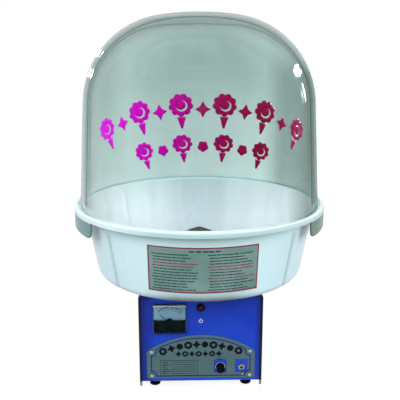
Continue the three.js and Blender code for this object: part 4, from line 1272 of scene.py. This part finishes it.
def print_lamp_mark():
    """The common sign for power under the lamp, in pale ink."""
    gap = radians(35)
    open_ring = arc_line(2.9 * mm, 4.1 * mm, pi / 2 + gap, 2.5 * pi - gap, 36)
    sign = joined(open_ring, bar(1.3 * mm, 0.6 * mm, 5.4 * mm))
    print_on("chassis", "lamp_sign", moved(sign, 0, 133 * mm), pale_ink_and_highlight)


decorate_dome()
label_tub()
print_nameplate()
print_dial()
paint_meter_edge_highlight()
print_lamp_mark()


# Everything whose node already has the right shape gets its finish and fine edges, in millimetres
fine_edges = {
    "chassis": (blue, 0.35), "cover": (blue_with_painted_lip_shade, 0.35), "meter_case": (case_black, 0.5),
    "meter_dial": (dial_white, 0.1), "meter_lens": (lens_glass, 0.5), "meter_needle": (black, 0.1),
    "meter_zero_screw": (black, 0.15), "lamp_bezel": (black, 0.4), "lamp_lens": (lens_red, 0.4),
    "heat_control_body": (insulator, 0.5), "heat_control_nut": (screw_metal, 0.3),
    "heat_control_shaft": (zinc, 0.3), "toggle_body": (zinc, 0.3), "toggle_nut": (zinc, 0.4),
    "toggle_lever": (brass, 0.2), "bowl_seat": (cast, 0.8), "drive_shaft": (screw_metal, 0.4),
    "motor_housing": (motor_grey, 1.0), "motor_end_cap": (cast, 0.8), "motor_bridge": (zinc, 0.4),
    "slip_ring_drum": (insulator, 0.6), "brush_holder": (insulator, 0.6),
    "terminal_block": (block_plastic, 0.5), "power_inlet": (black, 0.4),
}
repeated = (
    ("foot_", foot_rubber, 0.5), ("meter_nut_", screw_metal, 0.3), ("lamp_nut", screw_metal, 0.3),
    ("motor_mount_", foot_rubber, 0.6), ("slip_ring_", brass, 0.3), ("brush_", carbon, 0.3),
)
for start, material, edge in repeated:
    for name in nodes:
        if name.startswith(start):
            fine_edges.setdefault(name, (material, edge))
for name, (material, edge) in fine_edges.items():
    refined(name, material, edge * mm)


# Floor, light and camera

def pale_floor(glow):
    """A pale floor that shows white and keeps the machine's shadow."""
    bm = bmesh.new()
    bmesh.ops.create_grid(bm, x_segments=1, y_segments=1, size=30)
    mesh = mesh_of(bm, "floor")
    floor = Finish("pale_floor", (0.2, 0.2, 0.2, 1), 0.9, Specular_IOR_Level=0.0)
    strength = floor.times(floor.seen_straight(), glow)
    light = floor.add("Emission", {"Color": (1, 1, 1, 1), "Strength": strength})
    whole = floor.add("AddShader", {0: floor.shader.outputs[0], 1: light.outputs[0]})
    floor.set(floor.output, {"Surface": whole.outputs[0]})
    mesh.materials.append(floor.material)
    linked("floor", mesh)


def studio_world(strength):
    """White where it is seen straight; a softer light on the machine."""
    scene.world = bpy.data.worlds.new("studio")
    scene.world.use_nodes = True
    sky = Wiring(scene.world.node_tree)
    level = sky.span(sky.seen_straight(), 0.0, 1.0, strength, 1.0)
    sky.set(sky.tree.nodes["Background"], {"Color": (1, 1, 1, 1), "Strength": level})


def area_light(name, place, target, width, height, power, glint=False):
    """A soft lamp; it lights the surfaces, or its narrow beam only shows as a glint in what is glossy."""
    data = bpy.data.lights.new(name, "AREA")
    data.shape = "RECTANGLE"
    data.size = width
    data.size_y = height
    data.energy = power
    if glint:
        data.spread = radians(12)
    lamp = linked(name, data)
    lamp.location = place
    lamp.rotation_euler = (Vector(target) - Vector(place)).to_track_quat("-Z", "Y").to_euler()
    lamp.visible_glossy = glint
    lamp.visible_diffuse = not glint
    lamp.visible_transmission = False


def camera():
    """The photograph's pinhole camera, fitted to the rim, the cabinet and the dome."""
    data = bpy.data.cameras.new("camera")
    data.sensor_width = 36
    data.lens = 55.8
    data.shift_x = 0.002
    aside, away, height = -0.034, 1.2792, 0.680
    obj = linked("camera", data)
    obj.location = (aside, -away, height)
    obj.rotation_euler = (radians(90 - 13.486), 0, atan2(aside, away))
    scene.camera = obj


pale_floor(0.876)
studio_world(0.66)

# Each lamp's name, place, what it faces, width, height and watts
lamps = (
    ("key", (-1.2, -2.2, 1.9), (0, 0, 0.4), 1.6, 1.6, 54),
    ("fill", (1.8, -1.6, 1.3), (0, 0, 0.35), 1.4, 1.4, 30),
    ("above", (0, -0.1, 2.2), (0, 0, 0.3), 1.0, 1.0, 5),
    ("behind", (0.8, 2.3, 0.5), (0, 0, 0.25), 1.6, 0.3, 5),
)
right_shoulder = (0.18, -0.12, 0.65)
left_shoulder = (-0.2, -0.06, 0.66)
glints = (
    ("dome_glint_window", (1.73, 1.0, 1.25), right_shoulder, 0.3, 0.18, 0.6),
    ("dome_glint_streak", (1.88, 0.91, 0.85), right_shoulder, 0.05, 0.75, 0.05),
    ("dome_glint_left", (-0.76, 1.86, 0.9), left_shoulder, 0.06, 0.06, 0.02),
    ("dome_glint_low_left", (-1.05, 1.74, 0.81), left_shoulder, 0.05, 0.1, 0.02),
    ("dome_glint_middle", (0.03, -2.19, 0.9), (0, -0.23, 0.57), 0.05, 0.04, 0.05),
)
for lamp in lamps:
    area_light(*lamp)
for lamp in glints:
    area_light(*lamp, glint=True)
camera()
scene.view_settings.view_transform = "Standard"
